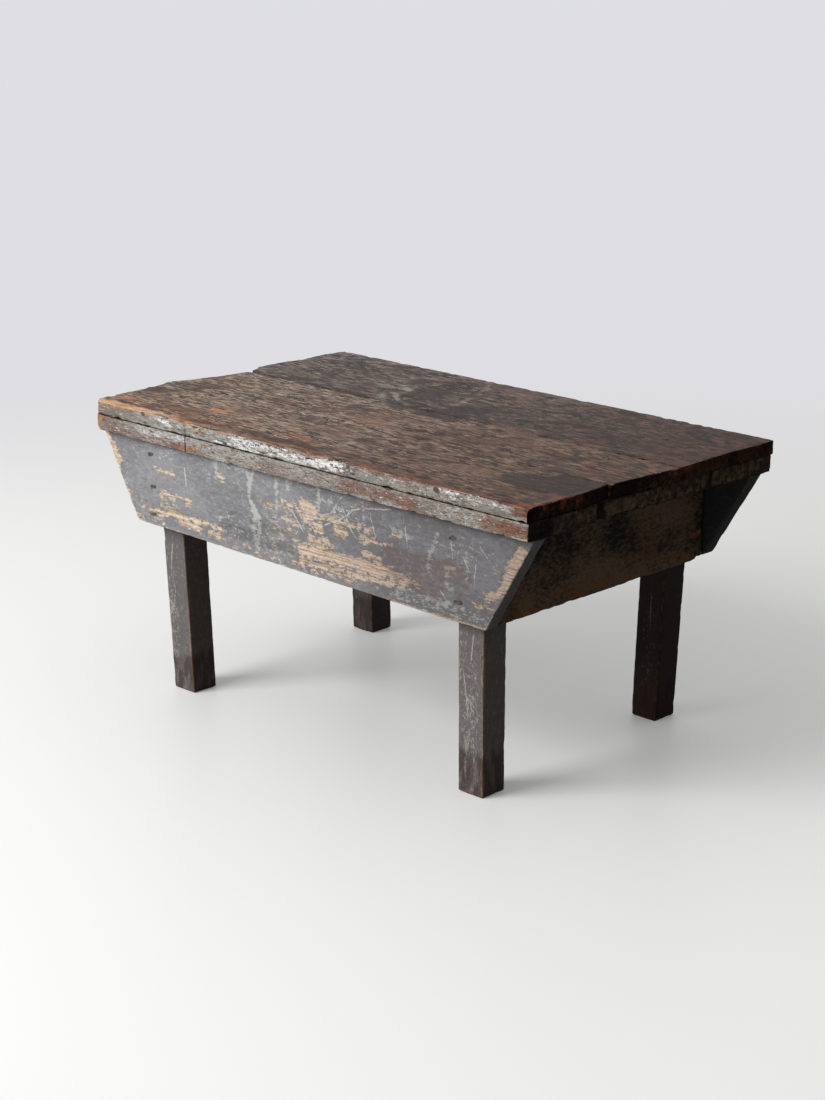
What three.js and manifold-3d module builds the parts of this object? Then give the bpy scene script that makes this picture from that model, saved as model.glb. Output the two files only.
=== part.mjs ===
// A low bench of nailed boards, in millimetres, with +Z up and X along its length.
// Two layers of lengthwise boards make the top. Under them stand a front and a back apron with slanting
// ends, two end boards between the aprons, and four square legs in the corners.
import * as THREE from "three";
import { mergeVertices } from "three/addons/utils/BufferGeometryUtils.js";
import Module from "manifold-3d";

const wasm = await Module();
wasm.setup();

// Whole bench.
const overallHeight = 460;
const topLength = 920;
const topWidth = 539;

// Top: the boards that are seen from above, and the layer under them.
const upperThickness = 21;
const underThickness = 26;
const frontBoardWidth = 171;
const middleBoardWidth = 141;
const underFrontWidth = 146;
const underMiddleWidth = 221;
const underStripWidth = 26;
const underShortLength = 210;
const underEndSetback = 2;
const underLeftSetback = 6;
const underBackSetback = 2;
const endWander = 18;

// Aprons, end boards and legs.
const apronInset = 14.5;
const apronThickness = 22;
const apronLeftSetback = 0.5;
const apronRightSetback = 3;
const apronLeftRun = 77.5;
const apronRightRun = 88;
const frontApronLeftDepth = 137;
const frontApronRightDepth = 148.5;
const backApronLeftDepth = 139;
const backApronRightDepth = 144;
const apronCornerRadius = 7;
const endBoardThickness = 24.5;
const endBoardDepth = 146.5;
const endBoardShortfall = 5;
const endBoardChipLength = 14;
const endBoardChipDepth = 4;
const legLength = 50.5;
const legWidth = 49.5;
const footShare = 0.95;
const legLean = 23;

// Edges: how far the saw-cut and worn arrises are rounded.
const arris = 1.5;
const wornArris = 4;
const backArris = 5;
const legArris = 3;
const footChamfer = 2;

// Cut nails, sheared from plate.
const nailPlate = 3.2;
const nailShank = 4.6;
const nailPoint = 2;
const nailHeadWidth = 8;
const nailHeadDepth = 2;
const nailRecess = 0.4;
const apronNailLength = 52;
const endBoardNailLength = 54;
const topNailLength = 76;

// Clearances, and how far a cutter runs past what it cuts.
const seatGap = 0.3;
const seamGap = 1;
const nailGap = 0.3;
const overrun = 10;
const mergeDistance = 1e-3;
const roundSteps = 3;

// Levels and lines that the pieces share.
const upperBottom = overallHeight - upperThickness;
const underTop = upperBottom - seatGap;
const underBottom = underTop - underThickness;
const baseTop = underBottom - seatGap;
const topFront = -topWidth / 2;
const topBack = topWidth / 2;
const apronLeftEnd = -topLength / 2 + apronLeftSetback;
const apronRightEnd = topLength / 2 - apronRightSetback;
const frontApronInner = topFront + apronInset + apronThickness;
const backApronInner = topBack - apronInset - apronThickness;
const leftEndOuter = apronLeftEnd + apronLeftRun;
const rightEndOuter = apronRightEnd - apronRightRun;
const leftEndInner = leftEndOuter + endBoardThickness;
const rightEndInner = rightEndOuter - endBoardThickness;
const endBoardFront = frontApronInner + seatGap;
const endBoardBack = backApronInner - endBoardShortfall;

// The lines between the boards of each layer, from front to back.
const middleFront = topFront + frontBoardWidth + seamGap;
const backFront = middleFront + middleBoardWidth + seamGap;
const underMiddleFront = topFront + underFrontWidth + seamGap;
const underStripFront = underMiddleFront + underMiddleWidth + seamGap;
const underBackFront = underStripFront + underStripWidth + seamGap;
const underLeft = -topLength / 2 + underLeftSetback;
const underRight = topLength / 2 - underEndSetback;
const underShortRight = underLeft + underShortLength;

// How each board's ends wander from the square line. Each point is a share across the board's width,
// from its front edge to its back edge, and a share of endWander outwards.
const squareEndShares = [[0, 0], [1, 0]];
const frontLeftEndShares = [[0, -0.35], [0.06, 0.25], [0.58, 0.5], [1, 1]];
const frontRightEndShares = [[0, -0.35], [0.05, -0.2], [0.6, -0.15], [0.86, -0.3], [1, -0.5]];
const middleLeftEndShares = [[0, 0.95], [0.2, 0.39], [0.55, -0.44], [1, -1.05]];
const middleRightEndShares = [[0, -0.28], [0.5, 0.05], [1, 0.39]];
const backLeftEndShares = [[0, -1.05], [0.14, -0.11], [0.5, -0.17], [0.53, -0.55], [0.8, -0.44], [1, -0.72]];
const backRightEndShares = [[0, 0.39], [0.4, 0.25], [0.9, 0.38], [0.98, 0.38], [1, 0.15]];
const underFrontLeftEndShares = [[0, 0.1], [0.1, 0.45], [1, 0.2]];
const underFrontRightEndShares = [[0, -0.05], [0.3, 0.05], [0.96, 0], [1, -0.5]];
const underMiddleRightEndShares = [[0, -0.3], [0.06, 0], [1, 0.1]];
const underBackRightEndShares = [[0, 0.1], [0.6, 0.3], [0.95, 0.38], [1, 0.2]];

// Where nails stand, as shares along and across the pieces they go into. An apron's nails are given
// across the leg behind, from its left face, and down the apron.
const leftLegNailShares = [[0.21, 0.16], [0.24, 0.53], [0.16, 0.84]];
const rightLegNailShares = [[0.23, 0.19], [0.44, 0.83]];
const endBoardNailShares = [0.32, 0.72];
const topLongNailShares = [-0.44, -0.14, 0.13, 0.44];

// The nails down into each end board stand at shares of the stretch that each under board lies on it.
const topEndNails = [
  { from: endBoardFront, to: underMiddleFront, nailShares: [0.2, 0.75] },
  { from: underMiddleFront, to: underStripFront, nailShares: [0.2, 0.6] },
  { from: underStripFront, to: underBackFront, nailShares: [0.5] },
  { from: underBackFront, to: endBoardBack, nailShares: [0.3, 0.8] },
];

// How far each foot stands off the place right under its leg's top, as shares of legLean.
const legs = [
  { name: "leg_front_left", side: -1, back: false, leanShares: [1, 0.08] },
  { name: "leg_front_right", side: 1, back: false, leanShares: [-0.03, 0.07] },
  { name: "leg_back_right", side: 1, back: true, leanShares: [-0.83, 0] },
  { name: "leg_back_left", side: -1, back: true, leanShares: [0.61, -0.16] },
];

// Turns that lay an outline drawn in X and Y upright: facing along the bench, or across it.
const alongX = new THREE.Vector3(1, 0, 0);
const alongY = new THREE.Vector3(0, 1, 0);
const alongZ = new THREE.Vector3(0, 0, 1);
const crossSection = new THREE.Matrix4().makeBasis(alongY, alongZ, alongX);
const frontElevation = new THREE.Matrix4().makeBasis(alongX, alongZ, alongY.clone().negate());

// A closed mesh as a solid that can be joined and cut.
function solidOf(geometry) {
  const bare = new THREE.BufferGeometry();
  bare.setAttribute("position", geometry.getAttribute("position"));
  bare.setIndex(geometry.getIndex());
  const merged = mergeVertices(bare, mergeDistance);
  const vertProperties = merged.getAttribute("position").array;
  const triVerts = new Uint32Array(merged.getIndex().array);
  return new wasm.Manifold(new wasm.Mesh({ numProp: 3, vertProperties, triVerts }));
}

function geometryOf(solid) {
  const { vertProperties, triVerts } = solid.getMesh();
  const shared = new THREE.BufferGeometry();
  shared.setAttribute("position", new THREE.BufferAttribute(vertProperties, 3));
  shared.setIndex(new THREE.BufferAttribute(triVerts, 1));
  const faceted = shared.toNonIndexed();
  faceted.computeVertexNormals();
  return faceted;
}

// A closed outline through corners given as [x, y, radius], each rounded by its radius.
function roundedOutline(corners) {
  const shape = new THREE.Shape();
  corners.forEach(([x, y, radius], i) => {
    const corner = new THREE.Vector2(x, y);
    const before = new THREE.Vector2(...corners.at(i - 1).slice(0, 2));
    const after = new THREE.Vector2(...corners[(i + 1) % corners.length].slice(0, 2));
    const start = before.sub(corner).setLength(radius).add(corner);
    const end = after.sub(corner).setLength(radius).add(corner);
    if (i === 0) shape.moveTo(start.x, start.y);
    else shape.lineTo(start.x, start.y);
    if (radius > 0) shape.quadraticCurveTo(x, y, end.x, end.y);
  });
  shape.closePath();
  return shape;
}

// An outline pushed out to a thickness, with its edges eased by one flat.
function easedBoard(shape, thickness, ease) {
  return new THREE.ExtrudeGeometry(shape, {
    depth: thickness - 2 * ease,
    bevelThickness: ease,
    bevelSize: ease,
    bevelOffset: -ease,
    bevelSegments: 1,
    curveSegments: roundSteps,
  }).translate(0, 0, ease);
}

// A board that lies flat: rounded along its four long arrises, then sawn to its uneven ends.
// radii go round the section from the lower front arris: lower front, lower back, upper back, upper front.
function lyingBoard({ front, width, bottom, thickness, left, right, leftEndShares, rightEndShares, radii }) {
  const back = front + width;
  const top = bottom + thickness;
  const rightEnd = rightEndShares.map(([across, out]) => [right + out * endWander, front + across * width]);
  const leftEnd = leftEndShares.map(([across, out]) => [left - out * endWander, front + across * width]);
  const sawPath = (end) => [[end[0][0], front - overrun], ...end, [end.at(-1)[0], back + overrun]];
  const plan = [...sawPath(rightEnd), ...sawPath(leftEnd).reverse()].map(([x, y]) => new THREE.Vector2(x, y));
  const ends = new THREE.ExtrudeGeometry(new THREE.Shape(plan), {
    depth: thickness + 2 * overrun,
    bevelEnabled: false,
  });
  ends.translate(0, 0, bottom - overrun);

  const section = roundedOutline([
    [front, bottom, radii[0]],
    [back, bottom, radii[1]],
    [back, top, radii[2]],
    [front, top, radii[3]],
  ]);
  const span = new THREE.Box2().setFromPoints(plan);
  const planed = new THREE.ExtrudeGeometry(section, {
    depth: span.max.x - span.min.x + 2 * overrun,
    bevelEnabled: false,
    curveSegments: roundSteps,
  });
  planed.applyMatrix4(crossSection).translate(span.min.x - overrun, 0, 0);
  return solidOf(planed).intersect(solidOf(ends));
}

function upperBoard(front, width, leftEndShares, rightEndShares, radii) {
  const [left, right] = [-topLength / 2, topLength / 2];
  const [bottom, thickness] = [upperBottom, upperThickness];
  return lyingBoard({ front, width, bottom, thickness, left, right, leftEndShares, rightEndShares, radii });
}

function underBoard(front, width, left, right, leftEndShares, rightEndShares, radii) {
  const [bottom, thickness] = [underBottom, underThickness];
  return lyingBoard({ front, width, bottom, thickness, left, right, leftEndShares, rightEndShares, radii });
}

// An apron's face: level along the top, slanting in at both ends, and a little deeper at the right.
function apron(outerFace, innerFace, leftDepth, rightDepth) {
  const face = roundedOutline([
    [apronLeftEnd, baseTop, 0],
    [leftEndOuter, baseTop - leftDepth, apronCornerRadius],
    [rightEndOuter, baseTop - rightDepth, apronCornerRadius],
    [apronRightEnd, baseTop, 0],
  ]);
  const board = easedBoard(face, apronThickness, arris);
  board.applyMatrix4(frontElevation).translate(0, Math.max(outerFace, innerFace), 0);
  return solidOf(board);
}

// An end board stands upright between the aprons. chip is a corner broken away at the lower back.
function endBoard(leftFace, chip) {
  const bottom = baseTop - endBoardDepth;
  const face = roundedOutline([
    [endBoardBack, baseTop, 0],
    [endBoardFront, baseTop, 0],
    [endBoardFront, bottom, 0],
    ...(chip ? chip(endBoardBack, bottom) : [[endBoardBack, bottom, 0]]),
  ]);
  const board = easedBoard(face, endBoardThickness, arris);
  board.applyMatrix4(crossSection).translate(leftFace, 0, 0);
  return solidOf(board);
}

function brokenCorner(back, bottom) {
  return [
    [back - endBoardChipLength, bottom, 0],
    [back - endBoardChipLength + endBoardChipDepth, bottom + endBoardChipDepth, 0],
    [back, bottom + endBoardChipDepth, 0],
  ];
}

// Where a leg's top stands in its corner, against an apron and an end board.
function legSeat({ side, back }) {
  const x = side < 0
    ? leftEndInner + seatGap + legLength / 2
    : rightEndInner - seatGap - legLength / 2;
  const y = back
    ? backApronInner - seatGap - legWidth / 2
    : frontApronInner + seatGap + legWidth / 2;
  return new THREE.Vector2(x, y);
}

// A square leg with softened arrises, drawn in a little towards its foot, which stands off to one side.
function leg(place) {
  const [halfLength, halfWidth] = [legLength / 2, legWidth / 2];
  const section = roundedOutline([
    [-halfLength, -halfWidth, legArris],
    [halfLength, -halfWidth, legArris],
    [halfLength, halfWidth, legArris],
    [-halfLength, halfWidth, legArris],
  ]);
  const post = easedBoard(section, baseTop, footChamfer);
  const seat = legSeat(place);
  const points = post.getAttribute("position");
  for (let i = 0; i < points.count; i++) {
    const below = 1 - points.getZ(i) / baseTop;
    const drawn = 1 - below * (1 - footShare);
    const [leanX, leanY] = place.leanShares.map((share) => share * legLean * below);
    points.setX(i, points.getX(i) * drawn + seat.x + leanX);
    points.setY(i, points.getY(i) * drawn + seat.y + leanY);
  }
  return solidOf(post);
}

// A cut nail's outline: head at the origin, point straight down. grow makes the hole it sits in.
function nailOutline(length, grow) {
  const head = nailHeadWidth / 2 + grow;
  const shank = nailShank / 2 + grow;
  const point = nailPoint / 2 + grow;
  const headTop = grow > 0 ? overrun : 0;
  return roundedOutline([
    [-head, headTop, 0],
    [-head, -nailHeadDepth - grow, 0],
    [-shank, -nailHeadDepth - grow, 0],
    [-point, -length - grow, 0],
    [point, -length - grow, 0],
    [shank, -nailHeadDepth - grow, 0],
    [head, -nailHeadDepth - grow, 0],
    [head, headTop, 0],
  ]);
}

function nailBody(length, grow) {
  const depth = nailPlate + 2 * grow;
  const body = new THREE.ExtrudeGeometry(nailOutline(length, grow), { depth, bevelEnabled: false });
  return body.translate(0, 0, -depth / 2);
}

// A nail's place: at is its head's centre on the wood's face, drive the way it is driven, and wide the way
// its head is wide.
function nailPlace(name, length, at, drive, wide) {
  const upward = drive.clone().negate();
  const turn = new THREE.Matrix4().makeBasis(wide, upward, wide.clone().cross(upward));
  const sunk = at.clone().addScaledVector(drive, nailRecess);
  return { name, length, turn, at: sunk };
}

// Where a leg's left face stands at a height, along the bench.
function legLeftFace(place, height) {
  const below = 1 - height / baseTop;
  const halfLength = (legLength / 2) * (1 - below * (1 - footShare));
  return legSeat(place).x + place.leanShares[0] * legLean * below - halfLength;
}

function apronNails() {
  const aprons = [
    { name: "front", face: topFront + apronInset, drive: alongY, back: false },
    { name: "back", face: topBack - apronInset, drive: alongY.clone().negate(), back: true },
  ];
  const depth = (frontApronLeftDepth + frontApronRightDepth) / 2;
  return aprons.flatMap(({ name, face, drive, back }) =>
    legs.filter((place) => place.back === back).flatMap((place) => {
      const shares = place.side < 0 ? leftLegNailShares : rightLegNailShares;
      const side = place.side < 0 ? "left" : "right";
      return shares.map(([across, down], i) => {
        const height = baseTop - down * depth;
        const x = legLeftFace(place, height) + across * legLength;
        const at = new THREE.Vector3(x, face, height);
        return nailPlace(`nail_${name}_apron_${side}_${i + 1}`, apronNailLength, at, drive, alongX);
      });
    }),
  );
}

function endBoardNails() {
  return legs.flatMap((place) =>
    endBoardNailShares.map((down, i) => {
      const [end, row] = [place.side < 0 ? "left" : "right", place.back ? "back" : "front"];
      const face = place.side < 0 ? leftEndOuter : rightEndOuter;
      const drive = alongX.clone().multiplyScalar(-place.side);
      const at = new THREE.Vector3(face, legSeat(place).y, baseTop - down * endBoardDepth);
      return nailPlace(`nail_${end}_end_${row}_${i + 1}`, endBoardNailLength, at, drive, alongY);
    }),
  );
}

// Nails down through both layers of the top, into the end boards and the aprons.
function topNails() {
  const down = alongZ.clone().negate();
  const ends = [["left", (leftEndOuter + leftEndInner) / 2], ["right", (rightEndOuter + rightEndInner) / 2]];
  const rowsAcross = topEndNails.flatMap(({ from, to, nailShares }) =>
    nailShares.map((share) => from + share * (to - from)),
  );
  const intoEnds = ends.flatMap(([end, x]) =>
    rowsAcross.map((y, i) => {
      const at = new THREE.Vector3(x, y, overallHeight);
      return nailPlace(`nail_top_${end}_${i + 1}`, topNailLength, at, down, alongX);
    }),
  );
  const edge = apronInset + apronThickness / 2;
  const rows = [["front", topFront + edge], ["back", topBack - edge]];
  const intoAprons = rows.flatMap(([row, y]) =>
    topLongNailShares.map((share, i) => {
      const at = new THREE.Vector3(share * topLength, y, overallHeight);
      return nailPlace(`nail_top_${row}_${i + 1}`, topNailLength, at, down, alongX);
    }),
  );
  return [...intoEnds, ...intoAprons];
}

const wornTopWood = { color: 0x57493f, roughness: 0.8, metalness: 0 };
const endGrainWood = { color: 0x4a3b2e, roughness: 0.9, metalness: 0 };
const greyPaint = { color: 0x6f7378, roughness: 0.65, metalness: 0 };
const darkPaint = { color: 0x4a4c4e, roughness: 0.7, metalness: 0 };
const rustyIron = { color: 0x3a2c25, roughness: 0.75, metalness: 0.6 };

const frontRadii = [arris, arris, arris, wornArris];
const innerRadii = [arris, arris, arris, arris];
const backRadii = [arris, wornArris, backArris, arris];
const underBackRadii = [arris, backArris, wornArris, arris];

const woodPieces = [
  {
    name: "top_board_front",
    finish: wornTopWood,
    solid: upperBoard(topFront, frontBoardWidth, frontLeftEndShares, frontRightEndShares, frontRadii),
  },
  {
    name: "top_board_middle",
    finish: wornTopWood,
    solid: upperBoard(middleFront, middleBoardWidth, middleLeftEndShares, middleRightEndShares, innerRadii),
  },
  {
    name: "top_board_back",
    finish: wornTopWood,
    solid: upperBoard(backFront, topBack - backFront, backLeftEndShares, backRightEndShares, backRadii),
  },
  {
    name: "under_board_front_short",
    finish: greyPaint,
    solid: underBoard(
      topFront, underFrontWidth, underLeft, underShortRight,
      underFrontLeftEndShares, squareEndShares, innerRadii),
  },
  {
    name: "under_board_front_long",
    finish: greyPaint,
    solid: underBoard(
      topFront, underFrontWidth, underShortRight + seamGap, underRight,
      squareEndShares, underFrontRightEndShares, innerRadii),
  },
  {
    name: "under_board_middle",
    finish: endGrainWood,
    solid: underBoard(
      underMiddleFront, underMiddleWidth, underLeft, underRight,
      squareEndShares, underMiddleRightEndShares, innerRadii),
  },
  {
    name: "under_strip",
    finish: endGrainWood,
    solid: underBoard(
      underStripFront, underStripWidth, underLeft, underRight, squareEndShares, squareEndShares, innerRadii),
  },
  {
    name: "under_board_back",
    finish: endGrainWood,
    solid: underBoard(
      underBackFront, topBack - underBackSetback - underBackFront, underLeft, underRight,
      squareEndShares, underBackRightEndShares, underBackRadii),
  },
  {
    name: "front_apron",
    finish: greyPaint,
    solid: apron(topFront + apronInset, frontApronInner, frontApronLeftDepth, frontApronRightDepth),
  },
  {
    name: "back_apron",
    finish: darkPaint,
    solid: apron(topBack - apronInset, backApronInner, backApronLeftDepth, backApronRightDepth),
  },
  { name: "left_end_board", finish: darkPaint, solid: endBoard(leftEndOuter) },
  { name: "right_end_board", finish: darkPaint, solid: endBoard(rightEndInner, brokenCorner) },
  ...legs.map((place) => ({ name: place.name, finish: greyPaint, solid: leg(place) })),
];

const nailPlaces = [...apronNails(), ...endBoardNails(), ...topNails()];

// Every nail hole at once, so that each board is cut where any nail passes through it.
const nailHoles = nailPlaces
  .map(({ length, turn, at }) => nailBody(length, nailGap).applyMatrix4(turn).translate(...at.toArray()))
  .map(solidOf)
  .reduce((all, hole) => all.add(hole));

const woodwork = new THREE.Group();
woodPieces.forEach(({ name, finish, solid }) => {
  const mesh = new THREE.Mesh(geometryOf(solid.subtract(nailHoles)), new THREE.MeshStandardMaterial(finish));
  mesh.name = name;
  woodwork.add(mesh);
});

const nails = new THREE.Group();
nailPlaces.forEach(({ name, length, turn, at }) => {
  const mesh = new THREE.Mesh(nailBody(length, 0), new THREE.MeshStandardMaterial(rustyIron));
  mesh.name = name;
  mesh.quaternion.setFromRotationMatrix(turn);
  mesh.position.copy(at);
  nails.add(mesh);
});

// The bench stands on the floor at zero, with the middle of its overall box over the origin.
const bench = new THREE.Group();
bench.add(woodwork, nails);
const middle = new THREE.Box3().setFromObject(bench).getCenter(new THREE.Vector3());
bench.position.set(-middle.x, -middle.y, 0);

export default bench;
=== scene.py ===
import math

import bmesh
import bpy
import numpy as np
from bpy.props import FloatProperty, FloatVectorProperty, PointerProperty
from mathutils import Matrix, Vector, kdtree, noise


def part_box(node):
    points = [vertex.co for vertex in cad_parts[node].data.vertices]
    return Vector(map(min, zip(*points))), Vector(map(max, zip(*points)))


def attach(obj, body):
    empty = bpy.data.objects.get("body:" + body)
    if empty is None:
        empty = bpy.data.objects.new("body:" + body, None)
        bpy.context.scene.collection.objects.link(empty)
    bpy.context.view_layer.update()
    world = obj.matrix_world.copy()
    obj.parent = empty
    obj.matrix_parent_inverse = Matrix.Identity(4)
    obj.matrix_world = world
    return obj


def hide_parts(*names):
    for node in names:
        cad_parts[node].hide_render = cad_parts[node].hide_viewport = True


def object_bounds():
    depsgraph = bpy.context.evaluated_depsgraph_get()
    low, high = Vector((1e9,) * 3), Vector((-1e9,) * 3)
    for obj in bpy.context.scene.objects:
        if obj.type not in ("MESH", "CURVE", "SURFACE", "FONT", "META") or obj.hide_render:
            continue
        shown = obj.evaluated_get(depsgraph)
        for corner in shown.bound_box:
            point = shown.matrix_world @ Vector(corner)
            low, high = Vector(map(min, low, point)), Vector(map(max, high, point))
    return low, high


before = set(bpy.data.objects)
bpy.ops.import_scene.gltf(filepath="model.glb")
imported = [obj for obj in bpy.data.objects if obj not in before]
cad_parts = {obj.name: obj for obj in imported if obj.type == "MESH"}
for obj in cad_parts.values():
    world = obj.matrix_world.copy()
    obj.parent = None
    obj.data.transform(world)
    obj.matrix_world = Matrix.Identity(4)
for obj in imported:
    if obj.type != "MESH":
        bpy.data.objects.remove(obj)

bl_info = {
    "name": "Worn Nailed Bench",
    "version": (1, 0, 0),
    "blender": (4, 5, 0),
    "location": "3D View > Sidebar > Bench",
    "description": "Dresses a bench of nailed boards in weathered pine and chipped slate-grey paint",
    "category": "Object",
}

# Units: Blender works in metres, wood is measured in millimetres.
MM = 0.001
PER_METRE = 1000.0
ALONG_X, ALONG_Y, ALONG_Z = 0, 1, 2
AXES = (Vector((1, 0, 0)), Vector((0, 1, 0)), Vector((0, 0, 1)))

# The ways that faces look.
LEFT, RIGHT = (-1, 0, 0), (1, 0, 0)
FRONT, BACK = (0, -1, 0), (0, 1, 0)
UPWARDS = (0, 0, 1)

# The CAD box, kept from straight after loading.
CAD_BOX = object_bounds()

UNDER_BOARDS = (
    "under_board_front_short",
    "under_board_front_long",
    "under_board_middle",
    "under_strip",
    "under_board_back",
)
LEGS = ("leg_front_left", "leg_front_right", "leg_back_right", "leg_back_left")
NAILS = tuple(sorted(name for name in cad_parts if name.startswith("nail_")))

# Limits of the mesh work: vertices closer than WELD metres are one, an edge that turns by more than
# SHARP is an arris, and one that turns by more than SHADE_SHARP is shaded as a crisp edge.
WELD = 2e-6
SHARP = math.radians(20)
SHADE_SHARP = math.radians(38)

# Rows of cuts beside each arris and cells through a board's thickness, in edge cells, and the finer
# cells of the painted aprons, as a share of the usual cell.
EDGE_ROWS = (1.0, 2.4, 4.6)
THICKNESS_CELL = 2.2
APRON_CELL = 0.7

# Millimetres between the points that stand for an arris, and how far from it its wear reaches.
ARRIS_STEP = 3.0
ARRIS_REACH = 3.2

# How squarely a face has to look the given way to take marks, to be a board's side, and to be sawn
# end grain or the side of a joint.
FACING = 0.35
SIDE_FACING = 0.5
END_FACING = 0.6

# What a field holds where nothing is marked, in millimetres from the nearest mark.
FAR_AWAY = 60.0

# How the Mix node is set when it mixes or multiplies colours, and its colour sockets.
MIX = {"data_type": "RGBA", "clamp_factor": True}
MULTIPLY = {"data_type": "RGBA", "blend_type": "MULTIPLY", "clamp_factor": True}
A, B, MIXED = 6, 7, 2

# How the Map Range node is set where something comes in smoothly.
SMOOTH = {"interpolation_type": "SMOOTHSTEP"}


def linear(hex_colour):
    """An opaque sRGB hex colour as the linear numbers that the shaders and the properties take."""
    channels = [int(hex_colour[i : i + 2], 16) / 255 for i in (0, 2, 4)]
    return (*(c / 12.92 if c <= 0.04045 else ((c + 0.055) / 1.055) ** 2.4 for c in channels), 1.0)


def colour_property(name, description, hex_colour):
    return FloatVectorProperty(
        name=name,
        description=description,
        subtype="COLOR",
        size=4,
        min=0,
        max=1,
        default=linear(hex_colour),
    )


def length_property(name, description, length_mm):
    return FloatProperty(
        name=name,
        description=description,
        subtype="DISTANCE",
        unit="LENGTH",
        min=0,
        default=length_mm * MM,
    )


class BenchSizes(bpy.types.PropertyGroup):
    """How finely the boards are cut up, and how deep their wear goes."""

    cell: length_property("Cell", "Spacing of the mesh along and across each board's faces", 5)
    edge_cell: length_property("Edge cell", "Spacing of the mesh rows beside each arris", 1.6)
    hidden_cell: length_property("Hidden cell", "Spacing of the mesh where boards are hidden", 9)
    arris_wear: length_property("Arris wear", "How far the arrises are nibbled away", 0.9)
    chip_depth: length_property("Chip depth", "Depth of the deepest chips along the arrises", 2.2)
    chip_length: length_property("Chip length", "Usual length of a chip along an arris", 17)
    face_waviness: length_property("Face waviness", "How far the faces dip between their high spots", 0.6)
    sawn_roughness: length_property("Sawn roughness", "How far the torn end grain stands back", 2.4)


class BenchColours(bpy.types.PropertyGroup):
    """Colours of the wood, the paint and the iron."""

    old_dark: colour_property("Old wood, dark", "Darkest grime in the weathered top", "30231d")
    old_light: colour_property("Old wood, light", "Browner streaks of the weathered top", "9b8472")
    back_dark: colour_property("Back board, dark", "Darkest grime in the top's back board", "2e2423")
    back_light: colour_property("Back board, light", "Lighter blotches in the back board", "776963")
    old_dry: colour_property("Old wood, dry", "Dry pale flecks in the weathered top", "c2ab92")
    fresh_dark: colour_property("Bare wood, dark", "Late growth rings where paint has gone", "b09479")
    fresh_light: colour_property("Bare wood, light", "Early growth where paint has gone", "f2e0cb")
    fresh_grey: colour_property("Bare wood, grey", "Weathered grey in bare wood", "a79b90")
    # The end grain's black is also what the painted shade in gaps and on shaded faces is laid in.
    end_dark: colour_property("End grain, dark", "Black-brown dirt in the sawn ends", "100a07")
    end_light: colour_property("End grain, light", "Greyer parts of the sawn ends", "4a3c30")
    end_dry: colour_property("End grain, dry", "Drier yellowish patches of the sawn ends", "857256")
    end_slate: colour_property("End paint", "What is left of grey paint on the end boards", "66523f")
    end_orange: colour_property("End stain", "Rusty orange stains on the end boards", "70431f")
    far_leg: colour_property("Far leg paint", "Blackened paint on the far leg", "3f3a36")
    far_wood: colour_property("Far leg wood", "Dry wood at the far leg's arrises", "7d6650")
    slate: colour_property("Slate paint", "Grey paint on the aprons", "969699")
    slate_dark: colour_property("Slate paint, dark", "Dirtier grey paint", "828183")
    slate_dirt: colour_property("Slate paint, dirt", "Dark specks in the grey paint", "625d5a")
    leg_slate: colour_property("Leg paint", "Grey paint on the legs", "848686")
    edge_paint: colour_property("Edge paint", "Grey paint on the edges of the top", "aaaba4")
    edge_dark: colour_property("Edge paint, dark", "Dirtier grey paint", "7a7069")
    edge_dirt: colour_property("Edge paint, dirt", "Brown streaks in the edge paint", "5a4438")
    edge_wood: colour_property("Edge wood", "Weathered red-brown wood under edge paint", "5a3e33")
    edge_wood_light: colour_property("Edge wood, light", "Paler streaks of that wood", "8a6e5f")
    under_paint: colour_property("Under edge paint", "Paler grey paint on the under layer", "c0c2bc")
    white_paint: colour_property("White paint", "Older white paint that shows as flecks", "f0f0ee")
    white_dirty: colour_property("White paint, dirty", "Dirtier white paint", "bdbbb5")
    pale_scrape: colour_property("Pale scrape", "Pale grey scrapes in the paint", "c2c4bf")
    pale_scratch: colour_property("Pale scratch", "Fine whitish scratches in the paint", "dcdbd5")
    rust: colour_property("Red-brown", "Rusty red-brown stain along the edges", "7a4632")
    red_mark: colour_property("Red mark", "Traces of red on the wood", "a05a48")
    orange: colour_property("Orange-brown", "Rubbed orange-brown spots", "cc8a50")
    stain: colour_property("Stain", "What spills and grime darken the wood by", "746a69")
    nail_stain: colour_property("Nail stain", "Rusty smudges round the nails", "33251f")
    # These darken by multiplying. Over the top's and the aprons' right-hand halves they lay painted shade
    # together with dirt, and on the legs' right-hand sides and the back legs they lay painted shade.
    shade_and_dirt: colour_property("Dusk", "What the top's dirtier right-hand half is darkened by", "ac8c7a")
    back_shade_and_dirt: colour_property("Back board dusk", "The same for the browner back board", "ac7054")
    slate_shade_and_dirt: colour_property("Paint dusk", "What the dirtier paint is darkened by", "a9a5a6")
    leg_shade_and_dirt: colour_property("Leg dusk", "What the legs' dirtier sides are darkened by", "a19186")
    iron: colour_property("Nail iron", "Rusted nail heads, once painted over", "625953")
    floor: colour_property("Floor", "Pale studio floor", "f6f6f5")
    floor_bounce: colour_property("Floor bounce", "The floor as it lights the underside", "a0a09f")
    backdrop: colour_property("Backdrop", "Pale wall behind the floor", "dfdfe3")


def sizes():
    return bpy.context.scene.bench_sizes


def colours():
    return bpy.context.scene.bench_colours


def millimetres(length):
    return length / MM


# Marks of wear. Each mark is a path of points on one face of a board, in millimetres from the lower
# left corner of that face, with the half width of the brush and how solid it is. A solidity under
# zero leaves scattered flecks, and one over zero covers more and more.


def mark(field, solidity, half_width, *path):
    return {"field": field, "solidity": solidity, "half_width": half_width, "path": path}


def scratch(*path):
    return {"field": "scratch", "path": path}


def crack(*path):
    return {"field": "crack", "path": path}


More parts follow.
